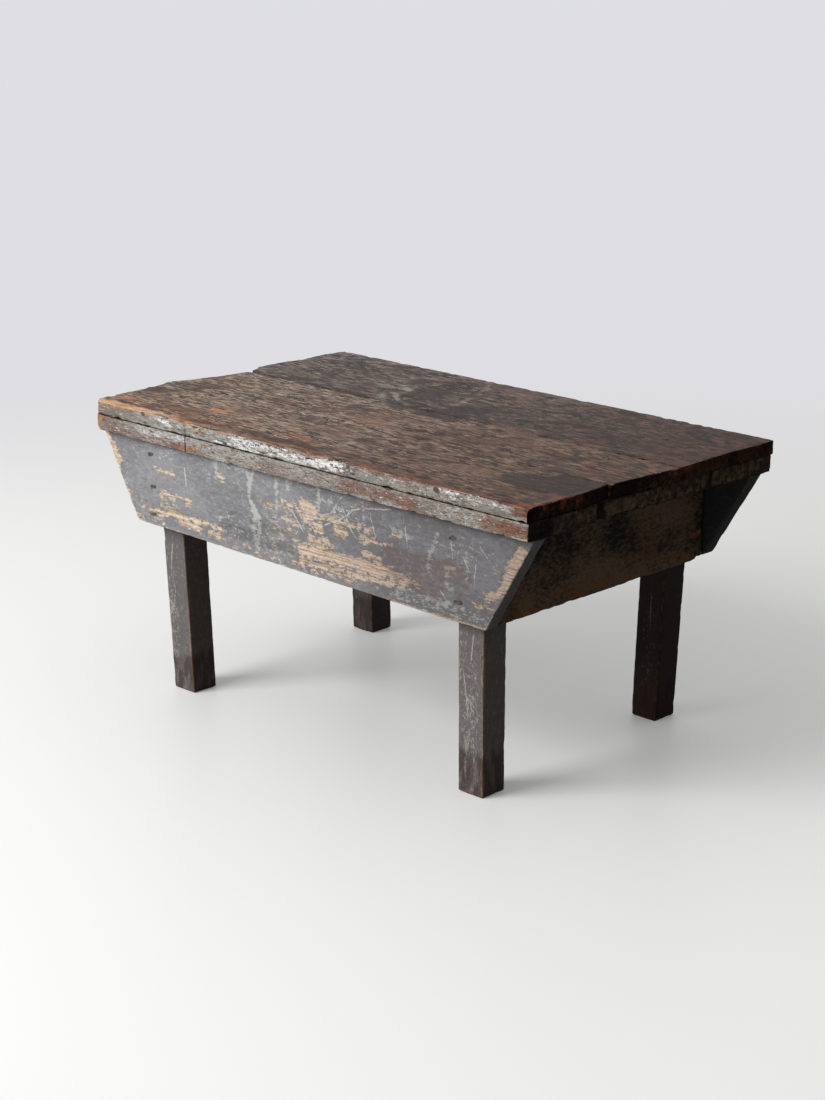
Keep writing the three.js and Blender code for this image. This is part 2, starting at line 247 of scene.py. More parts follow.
FRONT_APRON_MARKS = (
    # Bare streaks by the left end and along the lower edge.
    mark("bare", 5, 3, (124, 103), (168, 102)),
    mark("bare", 3, 2.5, (136, 66), (176, 67)),
    mark("bare", 2, 3, (188, 68), (206, 66)),
    mark("bare", 2, 2.5, (196, 60), (204, 58)),
    mark("bare", 0, 3, (136, 50), (176, 49)),
    mark("bare", 0, 4, (92, 40), (112, 34)),
    mark("bare", 3, 4, (112, 36), (184, 38)),
    mark("bare", 2, 3, (112, 28), (150, 31)),
    mark("bare", 6, 4, (184, 36), (232, 40)),
    mark("bare", 3, 5, (186, 28), (226, 26)),
    mark("bare", 6, 3, (228, 40), (278, 37)),
    mark("bare", 4, 3.5, (250, 26), (274, 24)),
    mark("bare", 4, 4, (272, 122), (286, 117)),
    mark("bare", 1, 4, (76, 16), (96, 18)),
    mark("bare", -1, 4, (96, 20), (140, 20)),
    mark("bare", -2, 6, (290, 16), (450, 14)),
    # The large bare area in the middle: chipped above, nearly solid below, with a tail to the right.
    mark("bare", -2.5, 16, (385, 90), (470, 100)),
    mark("bare", -2.5, 20, (400, 50), (470, 40)),
    mark("bare", 1, 7, (420, 104), (462, 100)),
    mark("bare", 0, 5, (420, 84), (450, 82)),
    mark("bare", 0, 4, (400, 66), (440, 64)),
    mark("bare", 4, 8, (462, 112), (484, 106)),
    mark("bare", 2, 12, (476, 92), (500, 84)),
    mark("bare", 4, 4, (500, 100), (606, 100)),
    mark("bare", 3, 8, (530, 86), (548, 84)),
    mark("bare", 3, 6, (586, 84), (612, 86)),
    mark("bare", 2, 7, (480, 64), (520, 62)),
    mark("bare", 4, 5, (590, 62), (620, 60)),
    mark("bare", 5, 12, (462, 42), (560, 40), (640, 42)),
    mark("bare", 2, 10, (462, 24), (560, 22)),
    mark("bare", 4, 5, (560, 26), (650, 28)),
    mark("bare", 3, 4, (640, 46), (700, 38)),
    mark("bare", 0, 5, (640, 34), (680, 32)),
    mark("bare", 3, 3, (644, 100), (662, 102)),
    mark("bare", 4, 3, (626, 84), (648, 86)),
    mark("bare", -3, 10, (560, 12), (640, 12)),
    mark("bare", 1, 2.5, (806, 35), (838, 34)),
    mark("bare", -1, 3, (740, 8), (830, 4)),
    mark("bare", 2, 3, (752, 78), (768, 78)),
    # Along the slanting ends.
    mark("bare", 6, 8, (2, 142), (12, 130)),
    mark("bare", 6, 10, (22, 118), (34, 100)),
    mark("bare", 7, 5, (14, 120), (44, 66), (72, 20)),
    mark("bare", 9, 11, (892, 126), (880, 104)),
    mark("bare", 9, 9, (878, 104), (858, 66)),
    mark("bare", 7, 7, (852, 60), (832, 50)),
    # Paint that is left as islands in the bare wood.
    mark("kept", 8, 8, (512, 86), (520, 82)),
    mark("kept", 4, 4.5, (524, 68), (566, 66)),
    mark("kept", 3, 3, (628, 82), (629, 80)),
    mark("kept", -1, 4, (470, 52), (520, 52)),
    mark("kept", 0, 2.5, (480, 32), (640, 34)),
    mark("kept", -1, 3, (470, 18), (560, 16)),
    # Pale scrapes: the long one that forks at its foot, a thin corner line, and scattered knocks.
    mark("pale", 7, 3.5, (338, 142), (346, 122), (344, 100)),
    mark("pale", 4, 2.5, (352, 140), (348, 118)),
    mark("pale", 9, 4, (345, 98), (352, 84)),
    mark("pale", 12, 7.5, (354, 84), (362, 70)),
    mark("pale", 9, 4, (356, 68), (353, 50), (360, 30)),
    mark("pale", 8, 3, (367, 66), (365, 44), (363, 24)),
    mark("pale", 3, 2, (268, 140), (335, 140)),
    mark("pale", 4, 2.2, (270, 140), (270, 116)),
    mark("pale", -2, 6, (140, 128), (168, 134)),
    mark("pale", 12, 2.2, (254, 117), (255, 116)),
    mark("pale", 12, 2.4, (168, 61), (169, 60)),
    mark("pale", 8, 2, (160, 80), (161, 79)),
    mark("pale", 5, 2.5, (404, 136), (405, 84)),
    mark("pale", 5, 2.2, (427, 140), (430, 126)),
    mark("pale", 5, 2.5, (496, 140), (496, 102)),
    mark("pale", 4, 2, (588, 140), (592, 70)),
    mark("pale", 3, 2.4, (500, 126), (520, 128)),
    mark("pale", -2.5, 16, (385, 60), (460, 90)),
    mark("pale", -3, 24, (470, 112), (560, 120)),
    mark("pale", -4, 24, (600, 100), (760, 100)),
    mark("pale", 0, 3, (650, 110), (680, 106)),
    mark("pale", -1, 7, (650, 20), (830, 16)),
    mark("pale", 2, 3, (700, 24), (760, 24)),
    mark("pale", -2, 14, (290, 50), (420, 30)),
    mark("pale", 9, 2.8, (736, 122), (722, 92), (716, 72), (720, 62)),
    mark("pale", 7, 2.6, (758, 76), (752, 56), (756, 46)),
    mark("pale", 6, 2.4, (756, 46), (766, 46)),
    mark("pale", 8, 1.6, (790, 108), (792, 68)),
    mark("pale", -2, 12, (772, 100), (812, 118)),
    mark("pale", 8, 2.4, (792, 70), (792, 66)),
    mark("pale", 8, 2, (780, 128), (784, 126)),
    mark("pale", -3.5, 18, (800, 80), (850, 96)),
    mark("tint", 4, 26, (650, 62), (730, 60), (772, 66)),
    mark("tint", 0, 8, (700, 34), (740, 30)),
    mark("grime", -1, 16, (300, 48), (420, 50)),
    scratch((440, 96), (462, 70)),
    scratch((452, 118), (486, 76)),
    scratch((604, 118), (612, 96)),
    scratch((672, 118), (676, 98)),
    scratch((742, 40), (752, 30)),
    scratch((786, 96), (794, 84)),
    scratch((820, 116), (828, 108)),
    scratch((500, 102), (540, 116), (590, 130), (640, 138)),
    scratch((506, 88), (541, 104), (571, 124)),
    scratch((546, 122), (562, 96)),
    scratch((520, 108), (544, 138)),
    scratch((560, 96), (572, 84)),
    scratch((762, 112), (764, 92)),
    scratch((806, 70), (809, 96)),
    scratch((196, 116), (199, 92)),
)

BACK_APRON_MARKS = (
    mark("bare", 0, 12, (60, 40), (240, 30)),
    mark("bare", -2, 22, (380, 60), (620, 84)),
    mark("bare", 2, 6, (420, 14), (760, 12)),
    mark("pale", -3, 18, (560, 100), (760, 90)),
    mark("grime", 1, 30, (120, 110), (330, 100)),
    scratch((200, 120), (230, 70)),
    scratch((610, 40), (668, 84)),
)

# On the top, along the bench and back from its front edge.
TOP_MARKS = (
    # Rubbed front arris: clean tan at the left, broken up in the middle, a bright chip at the right.
    mark("fresh", 10, 9, (20, 6), (90, 9), (160, 10)),
    mark("fresh", 1, 6, (160, 10), (280, 12)),
    mark("fresh", -4, 8, (260, 8), (500, 8)),
    mark("fresh", -2.5, 7, (500, 5), (900, 5)),
    mark("fresh", 12, 8, (902, 8), (930, 8)),
    # Pale tan along the right-hand end's arris: rubbed wood, with a painted highlight where light catches
    # the arris.
    mark("fresh", 2, 4, (926, 20), (933, 160)),
    mark("orange", -1, 8, (20, 3), (160, 5), (280, 6)),
    mark("orange", -5, 7, (280, 6), (930, 4)),
    # Red-brown band behind the arris, with a dark streak and pale hairs in it.
    mark("tint", 3, 12, (90, 26), (300, 18), (500, 18), (760, 10), (930, 12)),
    mark("tint", -1, 26, (30, 52), (500, 46)),
    mark("grime", -3, 9, (60, 28), (300, 26)),
    mark("grime", 0, 8, (300, 28), (520, 30)),
    mark("grime", -3, 9, (520, 20), (900, 24)),
    mark("fresh", -1.5, 14, (40, 44), (480, 46)),
    mark("fresh", -4, 14, (40, 66), (620, 62)),
    # Rubbed orange spots, bare chips and pale scrapes, mostly on the left half.
    mark("orange", 0, 8, (196, 92), (232, 84)),
    mark("orange", -3, 12, (84, 150), (120, 120)),
    mark("orange", -3, 9, (414, 72), (448, 60)),
    mark("orange", -4, 10, (236, 250), (250, 200)),
    mark("orange", -4, 9, (120, 236), (140, 220)),
    mark("orange", -4, 9, (400, 226), (440, 206)),
    mark("fresh", 3, 4, (196, 90), (222, 88)),
    mark("fresh", 4, 3, (430, 66), (444, 60)),
    mark("fresh", -4.5, 60, (60, 100), (440, 90)),
    mark("fresh", -5, 50, (100, 220), (460, 220)),
    mark("fresh", -5, 50, (420, 110), (760, 110)),
    mark("fresh", -6, 60, (460, 230), (900, 240)),
    mark("pale", 8, 4.5, (202, 156), (210, 150)),
    mark("pale", 2, 7, (300, 412), (328, 396)),
    mark("pale", 4, 3.5, (310, 372), (336, 356), (362, 334)),
    mark("pale", 0, 6, (264, 396), (292, 390)),
    mark("pale", 0, 5, (300, 372), (330, 322)),
    mark("pale", 4, 3.5, (508, 92), (512, 60)),
    mark("pale", 1, 3, (280, 172), (360, 170)),
    mark("pale", -1, 6, (195, 240), (215, 224)),
    mark("pale", -2, 8, (230, 70), (260, 60)),
    mark("pale", -5, 40, (120, 250), (380, 300)),
    mark("pale", -5.5, 60, (240, 90), (460, 80)),
    mark("pale", -6, 80, (60, 450), (330, 430)),
    # The light arc and the dark stains beside it.
    mark("arc", 5, 5, (372, 532), (392, 516), (408, 490), (426, 450), (438, 420)),
    mark("arc", 2, 4, (438, 420), (450, 380), (455, 335)),
    mark("grime", 5, 30, (366, 480), (362, 420), (368, 372)),
    mark("grime", 5, 26, (380, 322), (440, 312), (500, 308)),
    mark("grime", 10, 18, (440, 314), (510, 300)),
    mark("grime", 3, 32, (490, 330), (500, 380)),
    mark("grime", -2, 60, (380, 450), (520, 360)),
    mark("grime", 14, 42, (872, 128), (940, 132)),
    mark("grime", 4, 28, (816, 112), (880, 96)),
    mark("grime", 1, 30, (20, 110), (50, 170)),
    mark("grime", -1, 18, (310, 236), (372, 262)),
    mark("grime", -1, 20, (310, 150), (420, 156)),
    mark("grime", -3.5, 60, (60, 180), (300, 240)),
    mark("grime", -4, 60, (560, 120), (860, 240)),
    mark("grime", -4, 70, (60, 420), (300, 400)),
    mark("grime", -4, 80, (600, 420), (900, 440)),
    # The open seam behind the middle board, black at the left and filled with dirt to the right.
    mark("grime", 5, 6, (30, 316), (330, 316)),
    crack((30, 313.5), (340, 313.5)),
    crack((522, 214), (536, 210), (552, 212)),
    crack((528, 217), (546, 215)),
    crack((372, 170), (384, 158), (392, 146)),
    crack((690, 128), (712, 118)),
    crack((300, 28), (360, 27)),
    # Open grain along the front board.
    crack((60, 44), (210, 40)),
    crack((100, 60), (300, 56)),
    crack((230, 46), (420, 42), (520, 44)),
    crack((350, 62), (480, 58)),
    crack((540, 36), (700, 30)),
    crack((720, 66), (840, 60)),
    crack((120, 196), (220, 194), (330, 190)),
    crack((590, 190), (690, 184)),
    crack((420, 262), (560, 256)),
    mark("red", 3, 4, (838, 246), (856, 216), (882, 202)),
    scratch((280, 418), (330, 398), (372, 380)),
    scratch((560, 150), (580, 140)),
)

# On the front edges, along the bench and up from the lower face of the under boards.
EDGE_MARKS = (
    # White paint: solid in the middle of the upper edge, in chips to either side and below.
    mark("white", 6, 1.6, (300, 30), (400, 29)),
    mark("white", 0, 6, (340, 40), (380, 38)),
    mark("white", 1.5, 6, (384, 42), (410, 41)),
    mark("white", 0, 6.5, (412, 38), (480, 38)),
    mark("white", 1.5, 6.5, (480, 36), (575, 38)),
    mark("white", -2, 4, (580, 42), (700, 43)),
    mark("white", -3.5, 8, (600, 38), (780, 36)),
    mark("white", 2, 3, (775, 44), (800, 42)),
    mark("white", -2, 5, (790, 40), (880, 42)),
    mark("white", 1, 4, (876, 42), (906, 40)),
    mark("white", 1, 3, (152, 45), (176, 44)),
    mark("white", 3, 3, (182, 40), (198, 37)),
    mark("white", -4, 8, (60, 38), (150, 38)),
    mark("white", -3, 8, (200, 38), (330, 38)),
    mark("white", -1.5, 4, (130, 18), (230, 18)),
    mark("white", -3, 8, (60, 14), (130, 14)),
    mark("white", -3, 10, (230, 14), (580, 14)),
    mark("white", -3, 10, (580, 14), (720, 14)),
    mark("white", -2.5, 10, (720, 14), (850, 14)),
    mark("white", -4, 10, (850, 14), (935, 14)),
    # Wood that shows through: tan at the left corner, red-brown streaks elsewhere.
    mark("bare", 8, 7, (14, 6), (32, 24)),
    mark("bare", 4, 3, (16, 36), (28, 44)),
    mark("bare", 3, 5, (250, 42), (275, 38)),
    mark("bare", 1, 4, (228, 8), (262, 6)),
    mark("bare", -1, 5, (60, 6), (240, 6)),
    mark("bare", -1, 6, (240, 8), (580, 6)),
    mark("bare", -2.5, 12, (240, 14), (580, 14)),
    mark("bare", 0, 7, (582, 14), (722, 14)),
    mark("bare", -2, 12, (722, 14), (846, 14)),
    mark("bare", 0, 10, (846, 12), (890, 12)),
    mark("bare", 4, 9, (892, 14), (940, 14)),
    mark("bare", 1, 3, (300, 48), (930, 48)),
    mark("bare", -2, 8, (590, 38), (900, 38)),
    mark("bare", 6, 7, (914, 40), (945, 38)),
    mark("bare", -2, 5, (30, 40), (130, 38)),
    mark("tint", 3, 4, (160, 6), (226, 6)),
    mark("tint", 0, 8, (582, 14), (722, 14)),
    mark("tint", 1, 9, (862, 12), (940, 12)),
    mark("tint", 6, 9, (912, 42), (945, 38)),
    mark("tint", 0, 3, (230, 48), (930, 48)),
    mark("red", -1, 3, (160, 6), (228, 5)),
    mark("red", -3, 3, (870, 16), (925, 18)),
    mark("orange", 10, 6, (14, 8), (30, 22)),
    mark("orange", -1, 4, (225, 7), (262, 6)),
    mark("orange", 4, 4, (922, 4), (940, 4)),
    mark("orange", 3, 3, (20, 50), (300, 50)),
    # Rusty nail holes, and the butt joint.
    mark("spot", 9, 3.4, (133, 46), (136, 43)),
    mark("spot", 9, 3.6, (590, 44), (592, 42)),
    mark("spot", 9, 4, (763, 42), (768, 41)),
    crack((234.5, 1), (234.5, 26)),
)

# On the right-hand ends, back from the front edge and up from the lower face of the under boards.
END_MARKS = (
    # Black joints between the under boards, and the crack beside the first.
    crack((147.5, 0), (149, 26)),
    crack((151, 4), (153, 26)),
    crack((154, 12), (157, 26)),
    crack((368.5, 0), (368.5, 26)),
    crack((395.5, 0), (395.5, 26)),
    mark("dry", 2, 9, (168, 12), (214, 12)),
    mark("dry", -2, 10, (60, 12), (140, 12)),
    mark("dry", -3, 9, (220, 38), (300, 36)),
    mark("dry", 0, 10, (340, 38), (535, 38)),
    mark("dry", -2, 9, (220, 12), (500, 12)),
    mark("tint", 0, 10, (20, 38), (118, 38)),
    mark("tint", -1, 8, (255, 38), (330, 36)),
    mark("orange", -3, 6, (30, 42), (110, 42)),
    mark("orange", -5, 6, (190, 40), (340, 42)),
    mark("grime", 6, 12, (0, 34), (10, 46)),
    mark("grime", 8, 10, (122, 36), (160, 40)),
    mark("grime", 5, 10, (180, 38), (214, 38)),
    mark("grime", 6, 12, (8, 10), (40, 14)),
)

END_BOARD_MARKS = (
    mark("orange", 0, 14, (318, 78), (330, 36)),
    mark("orange", -1, 14, (262, 26), (346, 20)),
    mark("orange", -1, 10, (60, 14), (240, 12)),
    mark("orange", -2, 10, (240, 12), (430, 14)),
    mark("orange", 0, 6, (198, 30), (202, 12)),
    mark("orange", 0, 6, (436, 50), (450, 24)),
    mark("orange", -1, 8, (20, 10), (60, 14)),
    mark("red", 4, 5, (436, 40), (452, 40)),
    mark("grime", 4, 10, (24, 20), (34, 14)),
)

FRONT_LEG_MARKS = (
    mark("pale", -1.5, 9, (30, 60), (26, 190)),
    mark("pale", 1, 3, (28, 134), (20, 120)),
    mark("pale", -2, 6, (10, 100), (12, 240)),
    mark("pale", 0, 5, (14, 40), (18, 90)),
    scratch((12, 180), (20, 120)),
    scratch((30, 240), (26, 205)),
    scratch((16, 150), (34, 134)),
)

FAR_LEG_MARKS = (
    mark("pale", -3, 8, (30, 60), (32, 200)),
    scratch((34, 200), (33, 160)),
)

# How much darker the boards are painted from left to right, by places along them in millimetres: painted
# shade where the window light falls off across the bench, with the darker dirt of their right-hand ends.
# Also how dusky the legs are all over.
TOP_SHADE_AND_DIRT = ((0, 0.0), (350, 0.15), (640, 0.65), (945, 0.95))
APRON_SHADE_AND_DIRT = ((0, 0.0), (420, 0.1), (640, 0.6), (914, 0.75))
LEG_DUSK = 0.6

# How much of the aprons' paint is hidden by black painted shade on their right-hand ends, which face away
# from the light, and on the back apron's inner side under the top.
FRONT_APRON_SHADE = 0.4
BACK_APRON_SHADE = 0.75

# How solid the paint on the top's front edges is, and how far back from the front they may lie, in
# millimetres.
EDGE_PAINT = 4.0
EDGE_DEPTH = 6

# Black painted shade where boards meet: how many millimetres it reaches from the gap between the top's
# layers, from the under layer's lower face and from an apron's upper edge under the overhang. It is
# thicker than it need be to hide the wood at the gap itself, so that it stays black a little way from it.
LAYER_SHADE_REACH = 0.9
LOWER_SHADE_REACH = 0.6
APRON_SHADE_REACH = 1.0
SHADE_START = 1.3

# How black the joints are in the under layer, in the top's open seam and in its tight one, and how
# near the bench's front and back a side counts as outer and stays clean.
UNDER_JOINT_DIRT = 1.0
OPEN_SEAM_DIRT = 0.4
TIGHT_SEAM_DIRT = 0.0
OUTER_FRONT = 3
OUTER_BACK = 6

# A rusty smudge at a nail: how solid it is, and its half width, half length and slant.
SMUDGE_SOLIDITY = 1.5
SMUDGE_HALF_WIDTH = 3
SMUDGE_HALF_LENGTH = 5
SMUDGE_SLANT = 0.5

# The brown stain at the foot of each leg: its height, how slowly it thins out and how solid it gets,
# and how much less solid the grime over it is.
FOOT_STAIN = 60
FOOT_FADE = 2
FOOT_SOLIDITY = 3
FOOT_GRIME = 1

# The kinds of mark: areas, which are stored as how far inside one a point lies, and thin lines, which
# are stored as how far away the nearest one is.
FIELDS = (
    "bare", "kept", "fresh", "white", "pale", "tint", "red", "orange", "grime", "spot", "arc", "dry",
)
LINES = ("scratch", "crack")

# Noise in the mesh's wear: how wide its lumps are in millimetres, with shifts that keep two of them
# apart, where chips begin in the noise and how fast they deepen, and the shares of two kinds of torn
# end grain.
NIBBLE_MM = 4.5
DIP_MM, DIP_SHIFT = 70, Vector((7, 3, 1))
TEAR_MM, TEAR_SHARE = (9, 5, 16), 0.6
TORN_MM, TORN_SHIFT, TORN_SHARE = 24, Vector((2, 9, 4)), 1.4
CHIP_START = 0.12
CHIP_GAIN = 2.2

# Corners and rims that are knocked away: the place, the way it faces, how far the dent reaches and
# how deep it is.
DENTS = {
    "top_board_front": (
        ((463, -269, 460), (0.5, -1, 1), 36, 7.5),
        ((463, -269, 450), (1, -1, 0), 20, 3),
        ((461, -232, 460), (1, 0, 1), 14, 3),
        ((462, -190, 460), (1, 0, 1), 18, 3),
        ((462, -128, 460), (1, 0, 1), 12, 3.5),
        ((462, -104, 458), (1, 0, 1), 11, 4),
        ((-459, -269, 460), (-1, -1, 1), 14, 3),
        ((-354, -269, 460), (0, -1, 1), 8, 3),
        ((130, -269, 460), (0, -1, 1), 10, 2.5),
        ((291, -269, 460), (0, -1, 1), 9, 2.5),
    ),
    "top_board_middle": (
        ((472, -92, 460), (1, 0, 1), 16, 4),
        ((471, -30, 460), (1, 0, 1), 18, 3),
        ((471, 34, 460), (1, 0, 1), 14, 3),
    ),
    "top_board_back": (
        ((472, 269, 460), (1, 1, 1), 20, 4),
        ((472, 269, 449), (1, 1, 0), 20, 3.5),
        ((472, 269, 439), (1, 1, -1), 18, 4),
        ((471, 110, 460), (1, 0, 1), 16, 3),
        ((-450, 50, 460), (-1, 0, 1), 14, 3),
    ),
    "under_board_back": (
        ((470, 267, 438), (1, 1, 1), 16, 4),
        ((470, 267, 426), (1, 1, 0), 20, 3),
        ((470, 267, 413), (1, 1, -1), 20, 5),
    ),
    "under_board_front_short": (
        ((-457, -269, 412), (-1, -1, -1), 30, 8),
        ((-457, -269, 438), (-1, -1, 1), 10, 2.5),
        ((-457, -230, 413), (-1, 0, -1), 40, 6),
        ((-457, -180, 413), (-1, 0, -1), 34, 5),
    ),
}


# Mesh work: a CAD node's own shape, cut up finely and then worn.


def cut_places(low, high, cell, edge_cell):
    """Where a board is cut along one axis: close rows beside both arrises and even cells between."""
    rows = [edge_cell * row for row in EDGE_ROWS]
    places = [low + row for row in rows] + [high - row for row in rows]
    inner_low, inner_high = low + rows[-1], high - rows[-1]
    count = max(1, round((inner_high - inner_low) / cell))
    places += [inner_low + (inner_high - inner_low) * i / count for i in range(1, count)]
    return sorted(place for place in places if low < place < high)


def cut_up(name, cells):
    """A fine mesh of a CAD node's shape: a merged copy, cut by planes, the longest way first."""
    work = bmesh.new()
    work.from_mesh(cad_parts[name].data)
    bmesh.ops.remove_doubles(work, verts=work.verts, dist=WELD)
    low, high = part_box(name)
    edge_cell = sizes().edge_cell
    for axis in sorted((ALONG_X, ALONG_Y, ALONG_Z), key=lambda i: low[i] - high[i]):
        for place in cut_places(low[axis], high[axis], cells[axis], edge_cell):
            everything = work.verts[:] + work.edges[:] + work.faces[:]
            bmesh.ops.bisect_plane(
                work, geom=everything, dist=WELD, plane_co=AXES[axis] * place, plane_no=AXES[axis]
            )
    bmesh.ops.remove_doubles(work, verts=work.verts, dist=WELD)
    work.normal_update()
    return work


def arris_tree(name):
    """The arrises of a CAD node, as closely spaced points that a nearest-point search can use."""
    work = bmesh.new()
    work.from_mesh(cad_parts[name].data)
    bmesh.ops.remove_doubles(work, verts=work.verts, dist=WELD)
    points = []
    for edge in work.edges:
        if len(edge.link_faces) == 2 and edge.calc_face_angle(0) > SHARP:
            start, end = (vertex.co for vertex in edge.verts)
            steps = max(1, math.ceil((end - start).length / (ARRIS_STEP * MM)))
            points += [start.lerp(end, i / steps) for i in range(steps + 1)]
    work.free()
    tree = kdtree.KDTree(len(points))
    for i, point in enumerate(points):
        tree.insert(point, i)
    tree.balance()
    return tree


def knocked(place, dents):
    """Where a point of a board ends up once its corners and rims have been knocked away."""
    for centre, outward, radius, depth in dents:
        away = place - Vector(centre)
        facing = Vector(outward).normalized()
        bite = depth * (1 - away.length_squared / radius**2) + away.dot(facing)
        if away.length < radius and bite > 0:
            place = place - facing * bite
    return place


def lumps(place, start=0.0):
    """Smooth noise at a place, as far as it rises above start and nothing elsewhere."""
    return max(0.0, noise.noise(place) - start)


def wear_down(work, arris_distance, end_axis, wear, dents):
    """Rubs the arrises down, chips them, lets the faces dip, tears the end grain and adds the dents."""
    size = sizes()
    places = []
    for vertex, distance in zip(work.verts, arris_distance):
        place = vertex.co / MM
        near = math.exp(-((distance / ARRIS_REACH) ** 2))
        chip = lumps(place / millimetres(size.chip_length), CHIP_START) * CHIP_GAIN
        nibble = lumps(place / NIBBLE_MM)
        depth = near * (millimetres(size.arris_wear) * nibble + millimetres(size.chip_depth) * chip)
        dip = lumps(place / DIP_MM + DIP_SHIFT)
        depth += millimetres(size.face_waviness) * dip * (1 - near)
        if abs(vertex.normal[end_axis]) > END_FACING:
            tear = lumps(Vector([length / wide for length, wide in zip(place, TEAR_MM)]))
            torn = lumps(place / TORN_MM + TORN_SHIFT)
            depth += millimetres(size.sawn_roughness) * (TEAR_SHARE * tear + TORN_SHARE * torn)
        places.append(knocked(place - vertex.normal * depth * wear, dents))
    for vertex, place in zip(work.verts, places):
        vertex.co = place * MM
    work.normal_update()


def distance_to_path(u, v, path):
    """How far points on a face are from a path drawn on it, and on which side of it they lie."""
    nearest = np.full(len(u), np.inf)
    side = np.ones(len(u))
    for (u0, v0), (u1, v1) in zip(path, path[1:]):
        du, dv = u1 - u0, v1 - v0
        along = np.clip(((u - u0) * du + (v - v0) * dv) / (du * du + dv * dv), 0, 1)
        away = np.hypot(u - u0 - along * du, v - v0 - along * dv)
        closer = away < nearest
        nearest = np.where(closer, away, nearest)
        side = np.where(closer, np.sign(du * (v - v0) - dv * (u - u0)), side)
    return nearest, side


def paint_marks(fields, points, normals, layout, marks):
    """Draws marks into the fields. layout says where the marks' corner is and which way they face."""
    corner = layout["corner"]
    u = points[:, layout["across"]] - corner[layout["across"]]
    v = points[:, layout["up"]] - corner[layout["up"]]
    outward = np.array(layout["facing"], float)
    depth = np.abs((points - np.array(corner)) @ outward)
    facing = (normals @ outward > FACING) & (depth < layout["within"])
    for each in marks:
        away, side = distance_to_path(u, v, each["path"])
        field = each["field"]
        if field in LINES:
            closer = facing & (away < np.abs(fields[field]))
            fields[field] = np.where(closer, away * side, fields[field])
            continue
        inside = np.minimum(each["solidity"], each["half_width"] - away)
        drawn = np.where(facing, inside, -FAR_AWAY)
        fields[field] = np.maximum(fields[field], drawn)


def rust_round_nails(fields, points, normals, layout, prefix):
    """A rusty smudge along the grain round each nail whose name starts like this."""
    marks = []
    for name in NAILS:
        if name.startswith(prefix):
            low, high = corners_of(name)
            centre = (low + high) / 2 - layout["corner"]
            u, v = centre[layout["across"]], centre[layout["up"]]
            start = (u - SMUDGE_HALF_LENGTH, v - SMUDGE_SLANT)
            end = (u + SMUDGE_HALF_LENGTH, v + SMUDGE_SLANT)
            marks.append(mark("spot", SMUDGE_SOLIDITY, SMUDGE_HALF_WIDTH, start, end))
    paint_marks(fields, points, normals, layout, marks)


def blank_fields(count):
    """Fields with no marks yet, paint everywhere, and no end grain, and neither painted shade nor dirt.
    """
    fields = {name: np.full(count, -FAR_AWAY) for name in FIELDS}
    for name in (*LINES, "paint"):
        fields[name] = np.full(count, FAR_AWAY)
    for name in ("end_grain", "shade_and_dirt", "gap"):
        fields[name] = np.zeros(count)
    return fields


def arrays_of(work):
    """A mesh's points in millimetres, and its normals."""
    points = np.array([vertex.co[:] for vertex in work.verts]) / MM
    normals = np.array([vertex.normal[:] for vertex in work.verts])
    return points, normals


def finish_board(name, work, fields, material):
    """Makes the worn board an object that rides on the bench and stands for its CAD node."""
    mesh = bpy.data.meshes.new("worn_" + name)
    work.to_mesh(mesh)
    work.free()
    for field, values in fields.items():
        attribute = mesh.attributes.new(field, "FLOAT", "POINT")
        attribute.data.foreach_set("value", values.astype(np.float32))
    mesh.polygons.foreach_set("use_smooth", [True] * len(mesh.polygons))
    mesh.set_sharp_from_angle(angle=SHADE_SHARP)
    mesh.materials.append(material)
    board = bpy.data.objects.new("worn_" + name, mesh)
    bpy.context.scene.collection.objects.link(board)
    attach(board, "root")
    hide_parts(name)


def corners_of(name):
    """A CAD node's lowest and highest corner in millimetres."""
    low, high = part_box(name)
    return low / MM, high / MM


def face_layout(corner, across, up, facing, within):
    """What a face's marks are measured from and along, the way it faces and how far in they reach."""
    return {"corner": corner, "across": across, "up": up, "facing": facing, "within": within}


# The corners that the marks are measured from: the top's, at its upper face, and those of its front
# edges and its right-hand ends, at the under layer's lower face.
TOP_CORNER = Vector((CAD_BOX[0].x, CAD_BOX[0].y, CAD_BOX[1].z)) / MM
EDGE_CORNER = Vector((CAD_BOX[0].x, CAD_BOX[0].y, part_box("under_board_middle")[0].z)) / MM
END_CORNER = Vector((CAD_BOX[1].x / MM, EDGE_CORNER.y, EDGE_CORNER.z))
UNDER_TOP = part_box("under_board_middle")[1].z / MM

# How far behind a marked face a board's own face may lie, in millimetres: little on the top and its
# edges, more on the legs, and most where boards end unevenly or stand aslant.
EVEN_REACH = 12
LEG_REACH = 30
UNEVEN_REACH = 60

TOP_LAYOUT = face_layout(TOP_CORNER, ALONG_X, ALONG_Y, UPWARDS, EVEN_REACH)
EDGE_LAYOUT = face_layout(EDGE_CORNER, ALONG_X, ALONG_Z, FRONT, EVEN_REACH)
END_LAYOUT = face_layout(END_CORNER, ALONG_Y, ALONG_Z, RIGHT, UNEVEN_REACH)


def darken(fields, places, stations):
    """Slow darkening along a board, partly painted shade: stations are places in millimetres and how dark
    it is there.
    """
    where, amount = zip(*stations)
    fields["shade_and_dirt"] = np.maximum(fields["shade_and_dirt"], np.interp(places, where, amount))


def blacken(fields, where, amount):
    """Black, at least this thick where it lies: painted shade in gaps and on shaded faces, and dirt in
    joints.
    """
    fields["gap"] = np.maximum(fields["gap"], np.where(where, amount, 0.0))


def shade_gap(fields, places, level, reach):
    """Black painted shade where two layers meet at a level, thinning out over its reach."""
    blacken(fields, True, np.clip(SHADE_START - np.abs(places - level) / reach, 0, 1))


